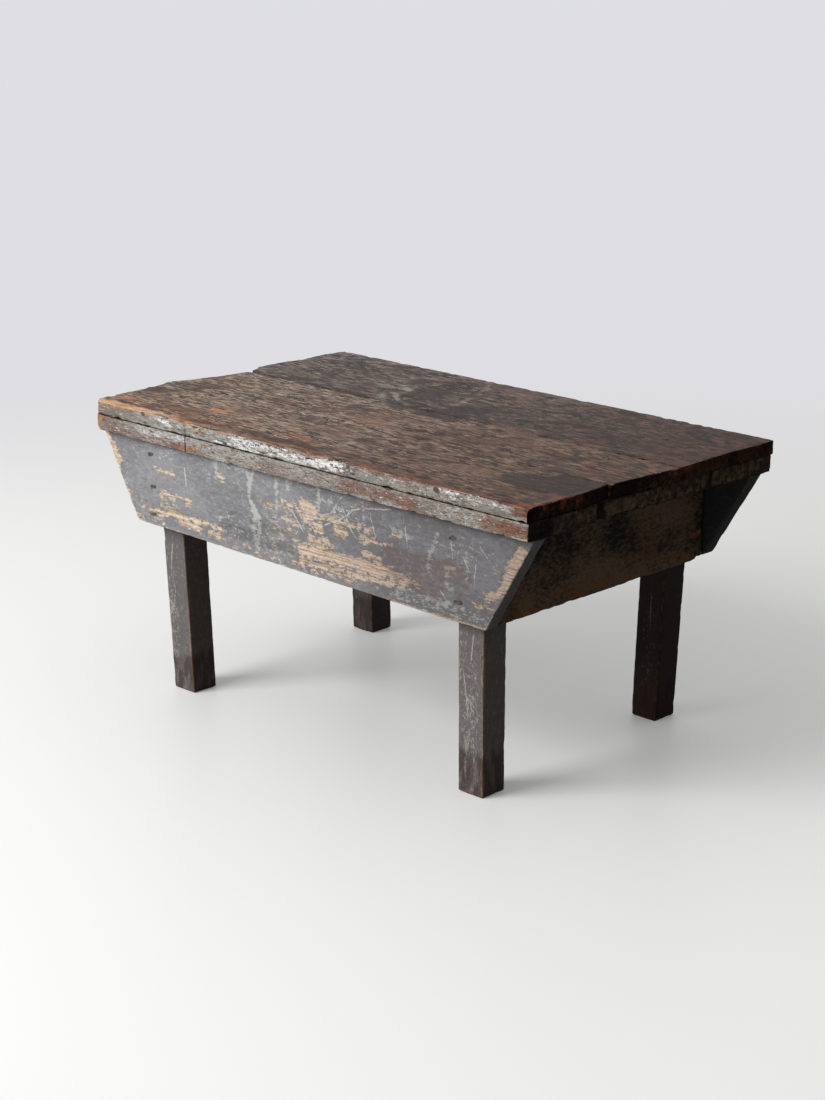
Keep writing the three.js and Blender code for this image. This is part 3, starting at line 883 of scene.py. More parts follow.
def dirty_joints(fields, points, normals, amount):
    """Black dirt on the sides of a board that face another board of its layer."""
    y = points[:, ALONG_Y]
    outer = (y < TOP_CORNER.y + OUTER_FRONT) | (y > -TOP_CORNER.y - OUTER_BACK)
    blacken(fields, (np.abs(normals[:, ALONG_Y]) > END_FACING) & ~outer, amount)


def paint_front_edge(fields, points, normals):
    """Leaves paint on the front edge of a board's layer alone, and returns where that is."""
    front = (points[:, ALONG_Y] < TOP_CORNER.y + EDGE_DEPTH) & (normals[:, ALONG_Y] < -SIDE_FACING)
    fields["paint"] = np.where(front, EDGE_PAINT, -FAR_AWAY)
    return front


def build_timber(name, cells, end_axis, wear=1.0):
    """A worn copy of a CAD node, with its points and normals before the wear, and its blank fields."""
    tree = arris_tree(name)
    work = cut_up(name, cells)
    distance = np.array([tree.find(vertex.co)[2] for vertex in work.verts]) / MM
    points, normals = arrays_of(work)
    wear_down(work, distance, end_axis, wear, DENTS.get(name, ()))
    fields = blank_fields(len(points))
    fields["arris"] = distance
    fields["end_grain"] = (np.abs(normals[:, end_axis]) > END_FACING).astype(float)
    return work, points, normals, fields


# Materials. Each one reads the fields that are stored on its board, breaks their edges up along the
# grain, and lays paint, scrapes and stains over the wood.

# Noise is centred here, and rarely strays from it by more than a sixth.
NOISE_MIDDLE = 0.5
NOISE_STRETCH = 6

# Growth rings change so slowly along a board that it is squeezed by this much there, and a wave
# texture of scale 1 has this wavelength.
RING_SQUEEZE = 0.04
WAVE_LENGTH = math.tau / 20

# How much of a worn edge of paint follows the streaks, and how much of a pale scrape's edge the grit.
STREAKY_EDGE = 0.35
GRITTY_EDGE = 0.3

# Between which values of its pattern each layer of colour comes in. Most of a pattern lies between
# 0.4 and 0.6, so a lower range covers more, and a narrower one has harder edges. The open pores' range
# is given backwards, because they lie where their pattern is low.
LATE_GROWTH = (0.43, 0.6)
GREYED_WOOD = (0.53, 0.63)
ORANGE_WOOD = (0.32, 0.54)
PALER_WOOD = (0.455, 0.53)
RED_WOOD = (0.48, 0.58)
DRY_FLECKS = (0.525, 0.575)
PALER_ENDS = (0.46, 0.6)
CLEANER_PAINT = (0.41, 0.58)
PAINT_SPECKS = (0.56, 0.66)
SCUFFS = (0.54, 0.59)
DIRTY_WHITE = (0.45, 0.62)
OPEN_PORES = (0.45, 0.38)
DARK_PATCHES = (0.5, 0.57)
IRON_RUST = (0.5, 0.75)

# Marks: how soft the edge of each kind is and how far noise moves it in and out, in millimetres, and
# how strongly those show that look alike on every board. The second table leaves out the edges of
# paint, bare and fresh wood, which each look makes as ragged as it needs, and pale scrapes, which
# share the white paint's value.
SOFTNESS = {
    "paint": 0.5, "bare": 0.6, "kept": 0.8, "fresh": 1.2, "white": 0.5, "pale": 0.9, "arc": 3.0,
    "dry": 8.0, "tint": 3.5, "red": 2.0, "orange": 3.5, "spot": 1.5, "grime": 5.0,
}
WANDER = {
    "kept": 3.0, "white": 8.0, "arc": 5.0, "dry": 5.0, "tint": 12.0, "red": 6.0, "orange": 12.0,
    "spot": 2.5, "grime": 12.0,
}
STRENGTH = {
    "greyed": 0.7, "dry": 0.36, "arc": 0.34, "red": 0.6, "spot": 0.8, "crack": 0.9, "gap": 0.95,
}

# Thin lines: half widths in millimetres, each with the value of the chips pattern under which the line
# is broken, over what range it fades in, how far it wanders, and the solid share of its half width.
SCRATCH_WIDTH, SCRATCH_BREAKS = 1.4, 0.38
CRACK_WIDTH, CRACK_BREAKS = 1.7, 0.2
BREAK_RANGE = 0.1
LINE_WANDER = 0.8
LINE_CORE = 0.4

# Rubbed arrises: how far chips and clouds move the line where paint begins again, and over how much
# of the board's face it fades in. All are in millimetres.
RUB_CHIPS = 2.6
RUB_CLOUDS = 1.4
RUB_FADE = 0.7

# Relief: shares of a look's own for the open grain, then millimetres that each layer stands up.
HAIR_RELIEF = 0.5
RING_RELIEF = 0.25
FLECK_RELIEF = 0.12
PAINT_FILM = 0.16
WHITE_FILM = 0.12
SCRATCH_DEPTH = -0.12

# How much the wide clouds roughen the surface, and how much of its sheen open end grain loses.
CLOUD_ROUGHNESS = 0.14
END_GRAIN_SHEEN = -0.85


def node(tree, kind, inputs, out=0, **settings):
    """Adds a shader node. A socket given as an input is linked, and anything else becomes its value."""
    made = tree.nodes.new("ShaderNode" + kind)
    for name, value in settings.items():
        setattr(made, name, value)
    for name, value in inputs.items():
        if isinstance(value, bpy.types.NodeSocket):
            tree.links.new(value, made.inputs[name])
        else:
            made.inputs[name].default_value = value
    return None if out is None else made.outputs[out]


def new_material(name):
    material = bpy.data.materials.new(name)
    material.use_nodes = True
    material.node_tree.nodes.clear()
    return material, material.node_tree


def per(size_mm):
    """A noise scale whose features are about this many millimetres wide."""
    return PER_METRE / size_mm


def grain_noise(tree, along, width_mm, length_ratio, detail, roughness):
    """Noise drawn out along the grain, as wide as given and length_ratio times as long."""
    squeeze = [1.0, 1.0, 1.0]
    squeeze[along] = 1 / length_ratio
    where = node(tree, "TexCoord", {}, "Object")
    places = node(tree, "Mapping", {"Vector": where, "Scale": squeeze})
    inputs = {"Vector": places, "Scale": per(width_mm), "Detail": detail, "Roughness": roughness}
    return node(tree, "TexNoise", inputs, "Fac")


def growth_rings(tree, along, look):
    """Growth rings round a pith that lies off the board, so that faces show lines and ends show arcs."""
    squeeze = [1.0, 1.0, 1.0]
    squeeze[along] = RING_SQUEEZE
    where = node(tree, "TexCoord", {}, "Object")
    shift = [distance * MM for distance in look["pith_mm"]]
    places = node(tree, "Mapping", {"Vector": where, "Location": shift, "Scale": squeeze})
    inputs = {
        "Vector": places,
        "Scale": WAVE_LENGTH / (look["ring_mm"] * MM),
        "Distortion": look["ring_wander"],
        "Detail": 2.0,
        "Detail Scale": 1.3,
    }
    return node(tree, "TexWave", inputs, "Fac", wave_type="RINGS", rings_direction="XYZ"[along])


def swing(tree, value, amount_mm):
    """A noise value as a distance that swings by about this many millimetres either way."""
    centred = node(tree, "Math", {0: value, 1: NOISE_MIDDLE}, operation="SUBTRACT")
    return node(tree, "Math", {0: centred, 1: amount_mm * NOISE_STRETCH}, operation="MULTIPLY")


def covered(tree, field, ragged):
    """Where a stored field covers the board, with its edge moved in and out by a ragged distance."""
    depth = node(tree, "Attribute", {}, "Fac", attribute_name=field)
    moved = node(tree, "Math", {0: depth, 1: ragged}, operation="ADD")
    inputs = {"Value": moved, "From Min": -SOFTNESS[field], "From Max": SOFTNESS[field]}
    return node(tree, "MapRange", inputs, **SMOOTH)


def layered(tree, under, over, amount, low=0.0, high=1.0, most=1.0):
    """One colour laid over another, from none where the amount is low to most where it is high."""
    inputs = {"Value": amount, "From Min": low, "From Max": high, "To Max": most}
    cover = node(tree, "MapRange", inputs, **SMOOTH)
    return node(tree, "Mix", {0: cover, A: under, B: over}, MIXED, **MIX)


def blended(tree, first, second, weight):
    """Two patterns as one, with this weight on the second."""
    rest = node(tree, "Math", {0: first, 1: 1 - weight}, operation="MULTIPLY")
    return node(tree, "Math", {0: second, 1: weight, 2: rest}, operation="MULTIPLY_ADD")


def wood_patterns(tree, along, look):
    """The patterns that every layer of a board shares, from wide clouds down to grit."""
    wide, run = look["grain"], look["run"]
    # Each one's width in millimetres, length in widths, octaves and how strong the finest octave is.
    noises = {
        "streaks": (2.6 * wide, run, 6.0, 0.7),
        "hairs": (1.4 * wide, run * 1.8, 4.0, 0.7),
        "broad": (13.0 * wide, run * 0.55, 5.0, 0.65),
        "cloud": (80.0, 1.6, 3.0, 0.55),
        "fleck": (4.2 * wide, 1.7, 5.0, 0.72),
        "chips": (*look["chips"], 6.0, 0.75),
        "grit": (*look["grit"], 3.0, 0.65),
    }
    seen = {name: grain_noise(tree, along, *values) for name, values in noises.items()}
    # Blotches on a sawn end run up it a little, whichever way the board lies.
    seen["end_blotches"] = grain_noise(tree, ALONG_Z, 6.0, 1.4, 5.0, 0.65)
    seen["rings"] = growth_rings(tree, along, look)
    # Patterns mixed from two others, and the second one's share.
    for name, first, second, weight in (
        ("fresh_lines", "streaks", "rings", 0.12),
        ("fresh_lines", "fresh_lines", "hairs", 0.35),
        ("old_tone", "streaks", "broad", look["blotches"]),
        ("old_tone", "old_tone", "hairs", 0.35),
        ("warmth", "cloud", "broad", 0.6),
        ("dry_flecks", "hairs", "fleck", 0.45),
        ("end_tone", "end_blotches", "broad", 0.5),
        ("lost_paint", "chips", "streaks", 0.4),
        ("paint_clouds", "cloud", "chips", 0.5),
        ("scuffs", "chips", "grit", 0.5),
        ("stain_edge", "broad", "fleck", 0.5),
        ("pores", "grit", "streaks", 0.5),
        ("patches", "cloud", "broad", 0.5),
    ):
        seen[name] = blended(tree, seen[first], seen[second], weight)
    return seen


def ragged_edge(tree, seen, reach_mm):
    """How far the edge of worn paint wanders in and out: mostly in chips, partly along the grain."""
    chips = swing(tree, seen["chips"], reach_mm)
    streaks = swing(tree, seen["streaks"], reach_mm)
    return blended(tree, chips, streaks, STREAKY_EDGE)


def line_along(tree, seen, field, half_width, breaks):
    """A thin line that wanders a little, and fades out where the chips pattern is under breaks."""
    away = node(tree, "Attribute", {}, "Fac", attribute_name=field)
    away = node(tree, "Math", {0: away, 1: swing(tree, seen["fleck"], LINE_WANDER)}, operation="ADD")
    away = node(tree, "Math", {0: away}, operation="ABSOLUTE")
    inputs = {"Value": seen["chips"], "From Min": breaks, "From Max": breaks + BREAK_RANGE}
    whole = node(tree, "MapRange", inputs, **SMOOTH)
    inputs = {"Value": away, "From Min": half_width, "From Max": half_width * LINE_CORE}
    near = node(tree, "MapRange", inputs, **SMOOTH)
    return node(tree, "Math", {0: near, 1: whole}, operation="MULTIPLY")


def bare_wood(tree, seen, look, end_grain):
    """Clean wood where it has lately been rubbed, old grey-brown wood elsewhere, and dirty end grain."""
    tint = colours()
    fresh = layered(tree, tint.fresh_light, tint.fresh_dark, seen["fresh_lines"], *LATE_GROWTH)
    fresh = layered(tree, fresh, tint.fresh_grey, seen["fleck"], *GREYED_WOOD, STRENGTH["greyed"])
    fresh = layered(tree, fresh, tint.orange, seen["broad"], *ORANGE_WOOD, look["orange"])

    old = layered(tree, look["old_dark"], look["old_light"], seen["old_tone"], *PALER_WOOD)
    old = layered(tree, old, tint.rust, seen["warmth"], *RED_WOOD, look["warmth"])
    old = layered(tree, old, look["dry"], seen["dry_flecks"], *DRY_FLECKS, look["dry_flecks"])

    rubbed = covered(tree, "fresh", ragged_edge(tree, seen, look["ragged"]))
    aged = node(tree, "Math", {0: look["age"], 1: rubbed}, operation="SUBTRACT", use_clamp=True)
    wood = layered(tree, fresh, old, aged)

    sawn = layered(tree, tint.end_dark, tint.end_light, seen["end_tone"], *PALER_ENDS)
    dry = covered(tree, "dry", swing(tree, seen["broad"], WANDER["dry"]))
    sawn = layered(tree, sawn, tint.end_dry, dry, most=STRENGTH["dry"])
    return layered(tree, wood, sawn, end_grain, most=look["end_dirt"])


def paint_left(tree, seen, look):
    """Where paint still holds: not where marks or hard wear took it, nor along the rubbed arrises."""
    ragged = ragged_edge(tree, seen, look["ragged"])
    held = covered(tree, "paint", ragged)
    bare = covered(tree, "bare", ragged)
    held = node(tree, "Math", {0: held, 1: bare}, operation="SUBTRACT", use_clamp=True)
    rub = node(tree, "Attribute", {}, "Fac", attribute_name="arris")
    for pattern, reach in ((seen["chips"], RUB_CHIPS), (seen["cloud"], RUB_CLOUDS)):
        rub = node(tree, "Math", {0: rub, 1: swing(tree, pattern, reach)}, operation="ADD")
    start = look["arris_rub"]
    inputs = {"Value": rub, "From Min": start, "From Max": start + RUB_FADE}
    sound = node(tree, "MapRange", inputs, **SMOOTH)
    held = node(tree, "Math", {0: held, 1: sound}, operation="MULTIPLY")
    low, high = look["lost"]
    inputs = {"Value": seen["lost_paint"], "From Min": low, "From Max": high}
    lost = node(tree, "MapRange", inputs, **SMOOTH)
    held = node(tree, "Math", {0: held, 1: lost}, operation="SUBTRACT", use_clamp=True)
    kept = covered(tree, "kept", swing(tree, seen["fleck"], WANDER["kept"]))
    return node(tree, "Math", {0: held, 1: kept}, operation="MAXIMUM")


def old_paint(tree, seen, look):
    """Old oil paint, gone matt: dirty in clouds and specks, with pale grit where it has been scuffed."""
    coat = layered(tree, look["paint_dark"], look["paint_light"], seen["paint_clouds"], *CLEANER_PAINT)
    coat = layered(tree, coat, look["paint_dirt"], seen["grit"], *PAINT_SPECKS, look["dirt"])
    return layered(tree, coat, look["scuff_colour"], seen["scuffs"], *SCUFFS, look["scuffs"])


def scrapes_over(tree, seen, look, surface):
    """White flecks of an older coat, pale scrapes, fine scratches and the light arc on the top."""
    tint = colours()
    grit = swing(tree, seen["grit"], WANDER["white"])
    chips = blended(tree, ragged_edge(tree, seen, WANDER["white"]), grit, GRITTY_EDGE)
    white = covered(tree, "white", chips)
    paint = layered(tree, tint.white_paint, tint.white_dirty, seen["streaks"], *DIRTY_WHITE)
    surface = layered(tree, surface, paint, white)
    pale = covered(tree, "pale", chips)
    surface = layered(tree, surface, tint.pale_scrape, pale, most=look["scrape"])
    line = line_along(tree, seen, "scratch", SCRATCH_WIDTH, SCRATCH_BREAKS)
    surface = layered(tree, surface, tint.pale_scratch, line, most=look["scratch"])
    arc = covered(tree, "arc", swing(tree, seen["fleck"], WANDER["arc"]))
    surface = layered(tree, surface, tint.old_dry, arc, most=STRENGTH["arc"])
    return surface, white, line


def stains_over(tree, seen, look, surface):
    """Stains that redden or darken whatever lies under them, the slow darkening of whole areas, partly
    painted shade, and black painted shade in gaps.
    """
    tint = colours()
    for stain, colour, strength in (
        ("tint", tint.rust, look["tint"]),
        ("red", tint.red_mark, STRENGTH["red"]),
        ("orange", look["orange_stain"], look["orange_cover"]),
        ("spot", tint.nail_stain, STRENGTH["spot"]),
    ):
        cover = covered(tree, stain, swing(tree, seen["stain_edge"], WANDER[stain]))
        surface = layered(tree, surface, colour, cover, most=strength)
    surface = layered(tree, surface, tint.old_dark, seen["pores"], *OPEN_PORES, look["pores"])
    grime = covered(tree, "grime", swing(tree, seen["broad"], WANDER["grime"]))
    low, high = DARK_PATCHES
    inputs = {"Value": seen["patches"], "From Min": low, "From Max": high, "To Max": look["patches"]}
    patches = node(tree, "MapRange", inputs, **SMOOTH)
    grime = node(tree, "Math", {0: grime, 1: patches}, operation="MAXIMUM")
    grime = node(tree, "Math", {0: grime, 1: look["grime"]}, operation="MULTIPLY")
    surface = node(tree, "Mix", {0: grime, A: surface, B: tint.stain}, MIXED, **MULTIPLY)
    # The slow darkening of whole areas: painted shade, with some dirt.
    shade_and_dirt = node(tree, "Attribute", {}, "Fac", attribute_name="shade_and_dirt")
    surface = node(tree, "Mix", {0: shade_and_dirt, A: surface, B: look["shade_and_dirt"]}, MIXED, **MULTIPLY)
    cracks = line_along(tree, seen, "crack", CRACK_WIDTH, CRACK_BREAKS)
    surface = layered(tree, surface, tint.end_dark, cracks, most=STRENGTH["crack"])
    # Black where the gap field lies: painted shade in gaps, under the top and on faces turned from the
    # light, and dirt in joints.
    gap = node(tree, "Attribute", {}, "Fac", attribute_name="gap")
    return layered(tree, surface, tint.end_dark, gap, most=STRENGTH["gap"])


def aged_timber(name, along, look):
    """Softwood that was painted and then worn: wood, paint, scrapes and stains, one over another."""
    material, tree = new_material(name)
    seen = wood_patterns(tree, along, look)
    end_grain = node(tree, "Attribute", {}, "Fac", attribute_name="end_grain")
    wood = bare_wood(tree, seen, look, end_grain)
    held = paint_left(tree, seen, look)
    surface = layered(tree, wood, old_paint(tree, seen, look), held)
    surface, white, line = scrapes_over(tree, seen, look, surface)
    surface = stains_over(tree, seen, look, surface)

    # Relief in millimetres: open grain in the wood, the edge of the paint film and the scratches.
    grain = look["grain_relief"]
    relief = node(tree, "Math", {0: seen["streaks"], 1: grain}, operation="MULTIPLY")
    for pattern, height in (
        (seen["hairs"], grain * HAIR_RELIEF),
        (seen["rings"], grain * RING_RELIEF),
        (seen["fleck"], FLECK_RELIEF),
        (held, PAINT_FILM),
        (white, WHITE_FILM),
        (line, SCRATCH_DEPTH),
    ):
        relief = node(tree, "Math", {0: pattern, 1: height, 2: relief}, operation="MULTIPLY_ADD")
    bump = node(tree, "Bump", {"Height": relief, "Distance": MM, "Strength": 1.0})
    inputs = {0: seen["cloud"], 1: CLOUD_ROUGHNESS, 2: look["roughness"]}
    dullness = node(tree, "Math", inputs, operation="MULTIPLY_ADD")
    sheen = node(tree, "Math", {0: end_grain, 1: END_GRAIN_SHEEN, 2: 1.0}, operation="MULTIPLY_ADD")
    sheen = node(tree, "Math", {0: sheen, 1: look["specular"]}, operation="MULTIPLY")
    inputs = {
        "Base Color": surface,
        "Roughness": dullness,
        "Specular IOR Level": sheen,
        "Normal": bump,
    }
    shader = node(tree, "BsdfPrincipled", inputs)
    node(tree, "OutputMaterial", {"Surface": shader}, None)
    return material


# What sets one kind of board apart from another. All lengths are in millimetres.
# - grain is how coarse the grain is drawn, and run how long its streaks are for their width. The top's
#   is coarser than real, so that it still shows at a flat angle.
# - chips and grit are widths, with lengths in widths.
# - pith_mm is how far the boards are shifted from the middle of the tree, ring_mm the width of a ring,
#   and ring_wander how strongly the rings are bent.
# - ragged is how far the edge of worn paint wanders, arris_rub how far from the arrises paint begins,
#   and grain_relief how deep the grain is.
# - lost gives the values of its pattern between which the paint goes.
# - roughness and specular are the shader's own.
# - The other numbers say how strongly a layer shows, from 0 to 1.


def top_look():
    """Pine boards long without paint: dark grey-brown, open-grained, dry and slightly polished by use."""
    tint = colours()
    return {
        "old_dark": tint.old_dark, "old_light": tint.old_light, "dry": tint.old_dry, "dry_flecks": 0.85,
        "paint_dark": tint.edge_dark, "paint_light": tint.edge_paint, "paint_dirt": tint.edge_dirt,
        "dirt": 0.7, "scuffs": 0.3, "scuff_colour": tint.white_dirty, "grain": 2.3, "run": 4.5,
        "chips": (3.4, 4.0), "grit": (2.0, 2.4), "ragged": 9.0, "age": 1.0, "orange": 0.8,
        "pith_mm": (0, 310, -260), "ring_mm": 9.0, "ring_wander": 14.0, "blotches": 0.4, "warmth": 0.3,
        "end_dirt": 0.95, "arris_rub": 0.4, "lost": (0.57, 0.61), "scrape": 0.4, "scratch": 0.3,
        "tint": 0.55, "grime": 0.9, "orange_stain": tint.orange, "orange_cover": 0.4, "pores": 0.75,
        "grain_relief": 0.9, "roughness": 0.52, "specular": 0.35, "shade_and_dirt": tint.shade_and_dirt, "patches": 0.4,
    }


def back_top_look():
    """The top's back board: the same pine, darker and greyer, with softer blotches, fewer dry flecks."""
    tint = colours()
    return {
        **top_look(),
        "old_dark": tint.back_dark, "old_light": tint.back_light, "dry_flecks": 0.4, "blotches": 0.6,
        "pith_mm": (0, 420, -300), "grain": 2.8, "run": 3.0, "pores": 0.5, "warmth": 0.2,
        "shade_and_dirt": tint.back_shade_and_dirt,
    }


def edge_look():
    """The under layer: the same pine with thin, much chipped grey paint on its front edge."""
    tint = colours()
    return {
        **top_look(),
        "old_dark": tint.edge_wood, "old_light": tint.edge_wood_light, "grain": 0.9, "run": 8.0,
        "pith_mm": (0, 240, -300), "lost": (0.52, 0.55), "age": 0.95, "arris_rub": -0.4, "pores": 0.7,
        "blotches": 0.2, "scuffs": 0.7, "ragged": 11.0, "dirt": 0.9, "paint_light": tint.under_paint,
        "patches": 0.2,
    }


def slate_look():
    """Pine under one coat of slate-grey paint, worn through along the grain to clean tan wood."""
    tint = colours()
    return {
        **top_look(),
        "old_dark": tint.slate_dark, "old_light": tint.fresh_dark, "dry_flecks": 0.2, "age": 0.1,
        "paint_dark": tint.slate_dark, "paint_light": tint.slate, "paint_dirt": tint.slate_dirt,
        "scuffs": 0.4, "scuff_colour": tint.pale_scrape, "grain": 1.0, "run": 9.0, "chips": (5.5, 2.0),
        "grit": (2.4, 1.5), "pith_mm": (0, 190, -120), "ring_mm": 6.0, "ring_wander": 12.0,
        "orange": 0.08, "end_dirt": 0.45, "arris_rub": 0.2, "lost": (0.64, 0.69), "scrape": 0.85,
        "scratch": 0.9, "tint": 0.3, "grime": 0.4, "pores": 0.2, "grain_relief": 0.3,
        "roughness": 0.5, "shade_and_dirt": tint.slate_shade_and_dirt, "patches": 0.0,
    }


def dark_look():
    """End boards: the paint nearly black with dirt, dry brown wood showing through along the grain."""
    tint = colours()
    return {
        **slate_look(),
        "paint_dark": tint.end_dark, "paint_light": tint.end_slate, "paint_dirt": tint.end_dark,
        "lost": (0.55, 0.63), "age": 1.0, "old_dark": tint.end_dark, "old_light": tint.end_light,
        "dry": tint.end_dry, "dry_flecks": 0.4, "pores": 0.5, "specular": 0.15, "scuffs": 0.12,
        "scuff_colour": tint.end_dry, "grain": 1.6, "run": 7.0, "grain_relief": 0.5, "roughness": 0.62,
        "scrape": 0.2, "arris_rub": -2.0, "orange_stain": tint.end_orange, "orange_cover": 0.6,
        "warmth": 0.35, "pith_mm": (190, 0, -150),
    }


def leg_look():
    """Pine legs in the same slate-grey paint, greyer and more knocked about, brown at the arrises."""
    tint = colours()
    return {
        **slate_look(),
        "paint_light": tint.leg_slate, "old_dark": tint.old_dark, "old_light": tint.old_dry,
        "age": 0.6, "arris_rub": 1.2, "ragged": 5.0, "pores": 0.4, "lost": (0.6, 0.65),
        "scuffs": 0.6, "grime": 0.6, "shade_and_dirt": tint.leg_shade_and_dirt, "pith_mm": (90, 70, 0),
    }


def far_leg_look():
    """The far leg: its paint nearly black, with pale specks, thin pale arrises and a brown foot."""
    tint = colours()
    return {
        **leg_look(),
        "paint_light": tint.far_leg, "paint_dark": tint.end_light, "paint_dirt": tint.end_dark,
        "scuffs": 0.08, "specular": 0.15, "old_dark": tint.end_light, "old_light": tint.far_wood,
        "age": 1.0, "scrape": 0.4, "scratch": 0.4, "arris_rub": 0.7,
    }


def rusted_iron():
    """Cut nails of wrought iron, rusted dark brown all over, with only a dull gleam left."""
    tint = colours()
    material, tree = new_material("rusted_wrought_iron")
    scale = grain_noise(tree, ALONG_Z, 1.2, 1, 4.0, 0.65)
    rust = layered(tree, tint.iron, tint.rust, scale, *IRON_RUST)
    bump = node(tree, "Bump", {"Height": scale, "Distance": 0.3 * MM, "Strength": 1.0})
    inputs = {"Base Color": rust, "Metallic": 0.3, "Roughness": 0.75, "Normal": bump}
    shader = node(tree, "BsdfPrincipled", inputs)
    node(tree, "OutputMaterial", {"Surface": shader}, None)
    return material


# Pieces.


def seen_cells(broad_axes=(ALONG_X, ALONG_Y)):
    """Cell lengths by axis: full cells along the broad faces and short ones through the thickness."""
    size = sizes()
    thin = size.edge_cell * THICKNESS_CELL
    return {axis: size.cell if axis in broad_axes else thin for axis in (ALONG_X, ALONG_Y, ALONG_Z)}


class BENCH_OT_top_boards(bpy.types.Operator):
    """Make the three weathered boards that are seen from above"""

    bl_idname = "bench.top_boards"
    bl_label = "Top Boards"

    def execute(self, context):
        pine = aged_timber("weathered_pine_top", ALONG_X, top_look())
        darker = aged_timber("weathered_pine_back_board", ALONG_X, back_top_look())
        for name, material, joint_dirt in (
            ("top_board_front", pine, TIGHT_SEAM_DIRT),
            ("top_board_middle", pine, TIGHT_SEAM_DIRT),
            ("top_board_back", darker, OPEN_SEAM_DIRT),
        ):
            work, points, normals, fields = build_timber(name, seen_cells(), ALONG_X)
            # Only the front edge still holds paint, and it is kept out of the painted shade and dirt of
            # the top's right-hand half, so that it stays paler than the rest.
            front = paint_front_edge(fields, points, normals)
            paint_marks(fields, points, normals, TOP_LAYOUT, TOP_MARKS)
            darken(fields, points[:, ALONG_X] - TOP_CORNER.x, TOP_SHADE_AND_DIRT)
            fields["shade_and_dirt"] = np.where(front, 0.0, fields["shade_and_dirt"])
            # Painted shade: black along the gap between the top's layers.
            shade_gap(fields, points[:, ALONG_Z], UNDER_TOP, LAYER_SHADE_REACH)
            dirty_joints(fields, points, normals, joint_dirt)
            paint_marks(fields, points, normals, EDGE_LAYOUT, EDGE_MARKS)
            paint_marks(fields, points, normals, END_LAYOUT, END_MARKS)
            finish_board(name, work, fields, material)
        return {"FINISHED"}


class BENCH_OT_under_boards(bpy.types.Operator):
    """Make the five boards of the layer under the top"""

    bl_idname = "bench.under_boards"
    bl_label = "Under Boards"

    def execute(self, context):
        material = aged_timber("chipped_pine_under_layer", ALONG_X, edge_look())
        cells = {**seen_cells(), ALONG_Y: sizes().hidden_cell}
        for name in UNDER_BOARDS:
            work, points, normals, fields = build_timber(name, cells, ALONG_X)
            paint_front_edge(fields, points, normals)
            paint_marks(fields, points, normals, EDGE_LAYOUT, EDGE_MARKS)
            paint_marks(fields, points, normals, END_LAYOUT, END_MARKS)
            # Painted shade: black along the gap between the layers and over the under layer's lower face.
            shade_gap(fields, points[:, ALONG_Z], UNDER_TOP, LAYER_SHADE_REACH)
            shade_gap(fields, points[:, ALONG_Z], EDGE_CORNER.z, LOWER_SHADE_REACH)
            dirty_joints(fields, points, normals, UNDER_JOINT_DIRT)
            finish_board(name, work, fields, material)
        return {"FINISHED"}


class BENCH_OT_aprons(bpy.types.Operator):
    """Make the painted front and back aprons"""

    bl_idname = "bench.aprons"
    bl_label = "Aprons"

    def execute(self, context):
        material = aged_timber("slate_painted_pine", ALONG_X, slate_look())
        size = sizes()
        fine = size.cell * APRON_CELL
        cells = {ALONG_X: fine, ALONG_Y: size.hidden_cell, ALONG_Z: fine}
        for name, facing, marks, painted_shade in (
            ("front_apron", FRONT, FRONT_APRON_MARKS, FRONT_APRON_SHADE),
            ("back_apron", BACK, BACK_APRON_MARKS, BACK_APRON_SHADE),
        ):
            work, points, normals, fields = build_timber(name, cells, ALONG_X, wear=0.4)
            corner, _ = corners_of(name)
            layout = face_layout(corner, ALONG_X, ALONG_Z, facing, UNEVEN_REACH)
            paint_marks(fields, points, normals, layout, marks)
            rust_round_nails(fields, points, normals, layout, "nail_" + name)
            darken(fields, points[:, ALONG_X] - corner.x, APRON_SHADE_AND_DIRT)
            # Painted shade: black along its upper edge, under the overhang.
            shade_gap(fields, points[:, ALONG_Z], EDGE_CORNER.z, APRON_SHADE_REACH)
            # Painted shade: black on its right-hand end, which faces away from the light, and the back
            # one black on its inner side too, under the top.
            inner = (facing == BACK) & (normals[:, ALONG_Y] < -SIDE_FACING)
            blacken(fields, (normals[:, ALONG_X] > FACING) | inner, painted_shade)
            finish_board(name, work, fields, material)
        return {"FINISHED"}


class BENCH_OT_end_boards(bpy.types.Operator):
    """Make the two dark end boards between the aprons"""

    bl_idname = "bench.end_boards"
    bl_label = "End Boards"

    def execute(self, context):
        material = aged_timber("blackened_pine_end_board", ALONG_Y, dark_look())
        cells = seen_cells((ALONG_Y, ALONG_Z))
        for name, facing in (("left_end_board", LEFT), ("right_end_board", RIGHT)):
            work, points, normals, fields = build_timber(name, cells, ALONG_Y, wear=0.8)
            corner, _ = corners_of(name)
            layout = face_layout(corner, ALONG_Y, ALONG_Z, facing, UNEVEN_REACH)
            paint_marks(fields, points, normals, layout, END_BOARD_MARKS)
            rust_round_nails(fields, points, normals, layout, "nail_" + name.replace("_board", ""))
            finish_board(name, work, fields, material)
        return {"FINISHED"}


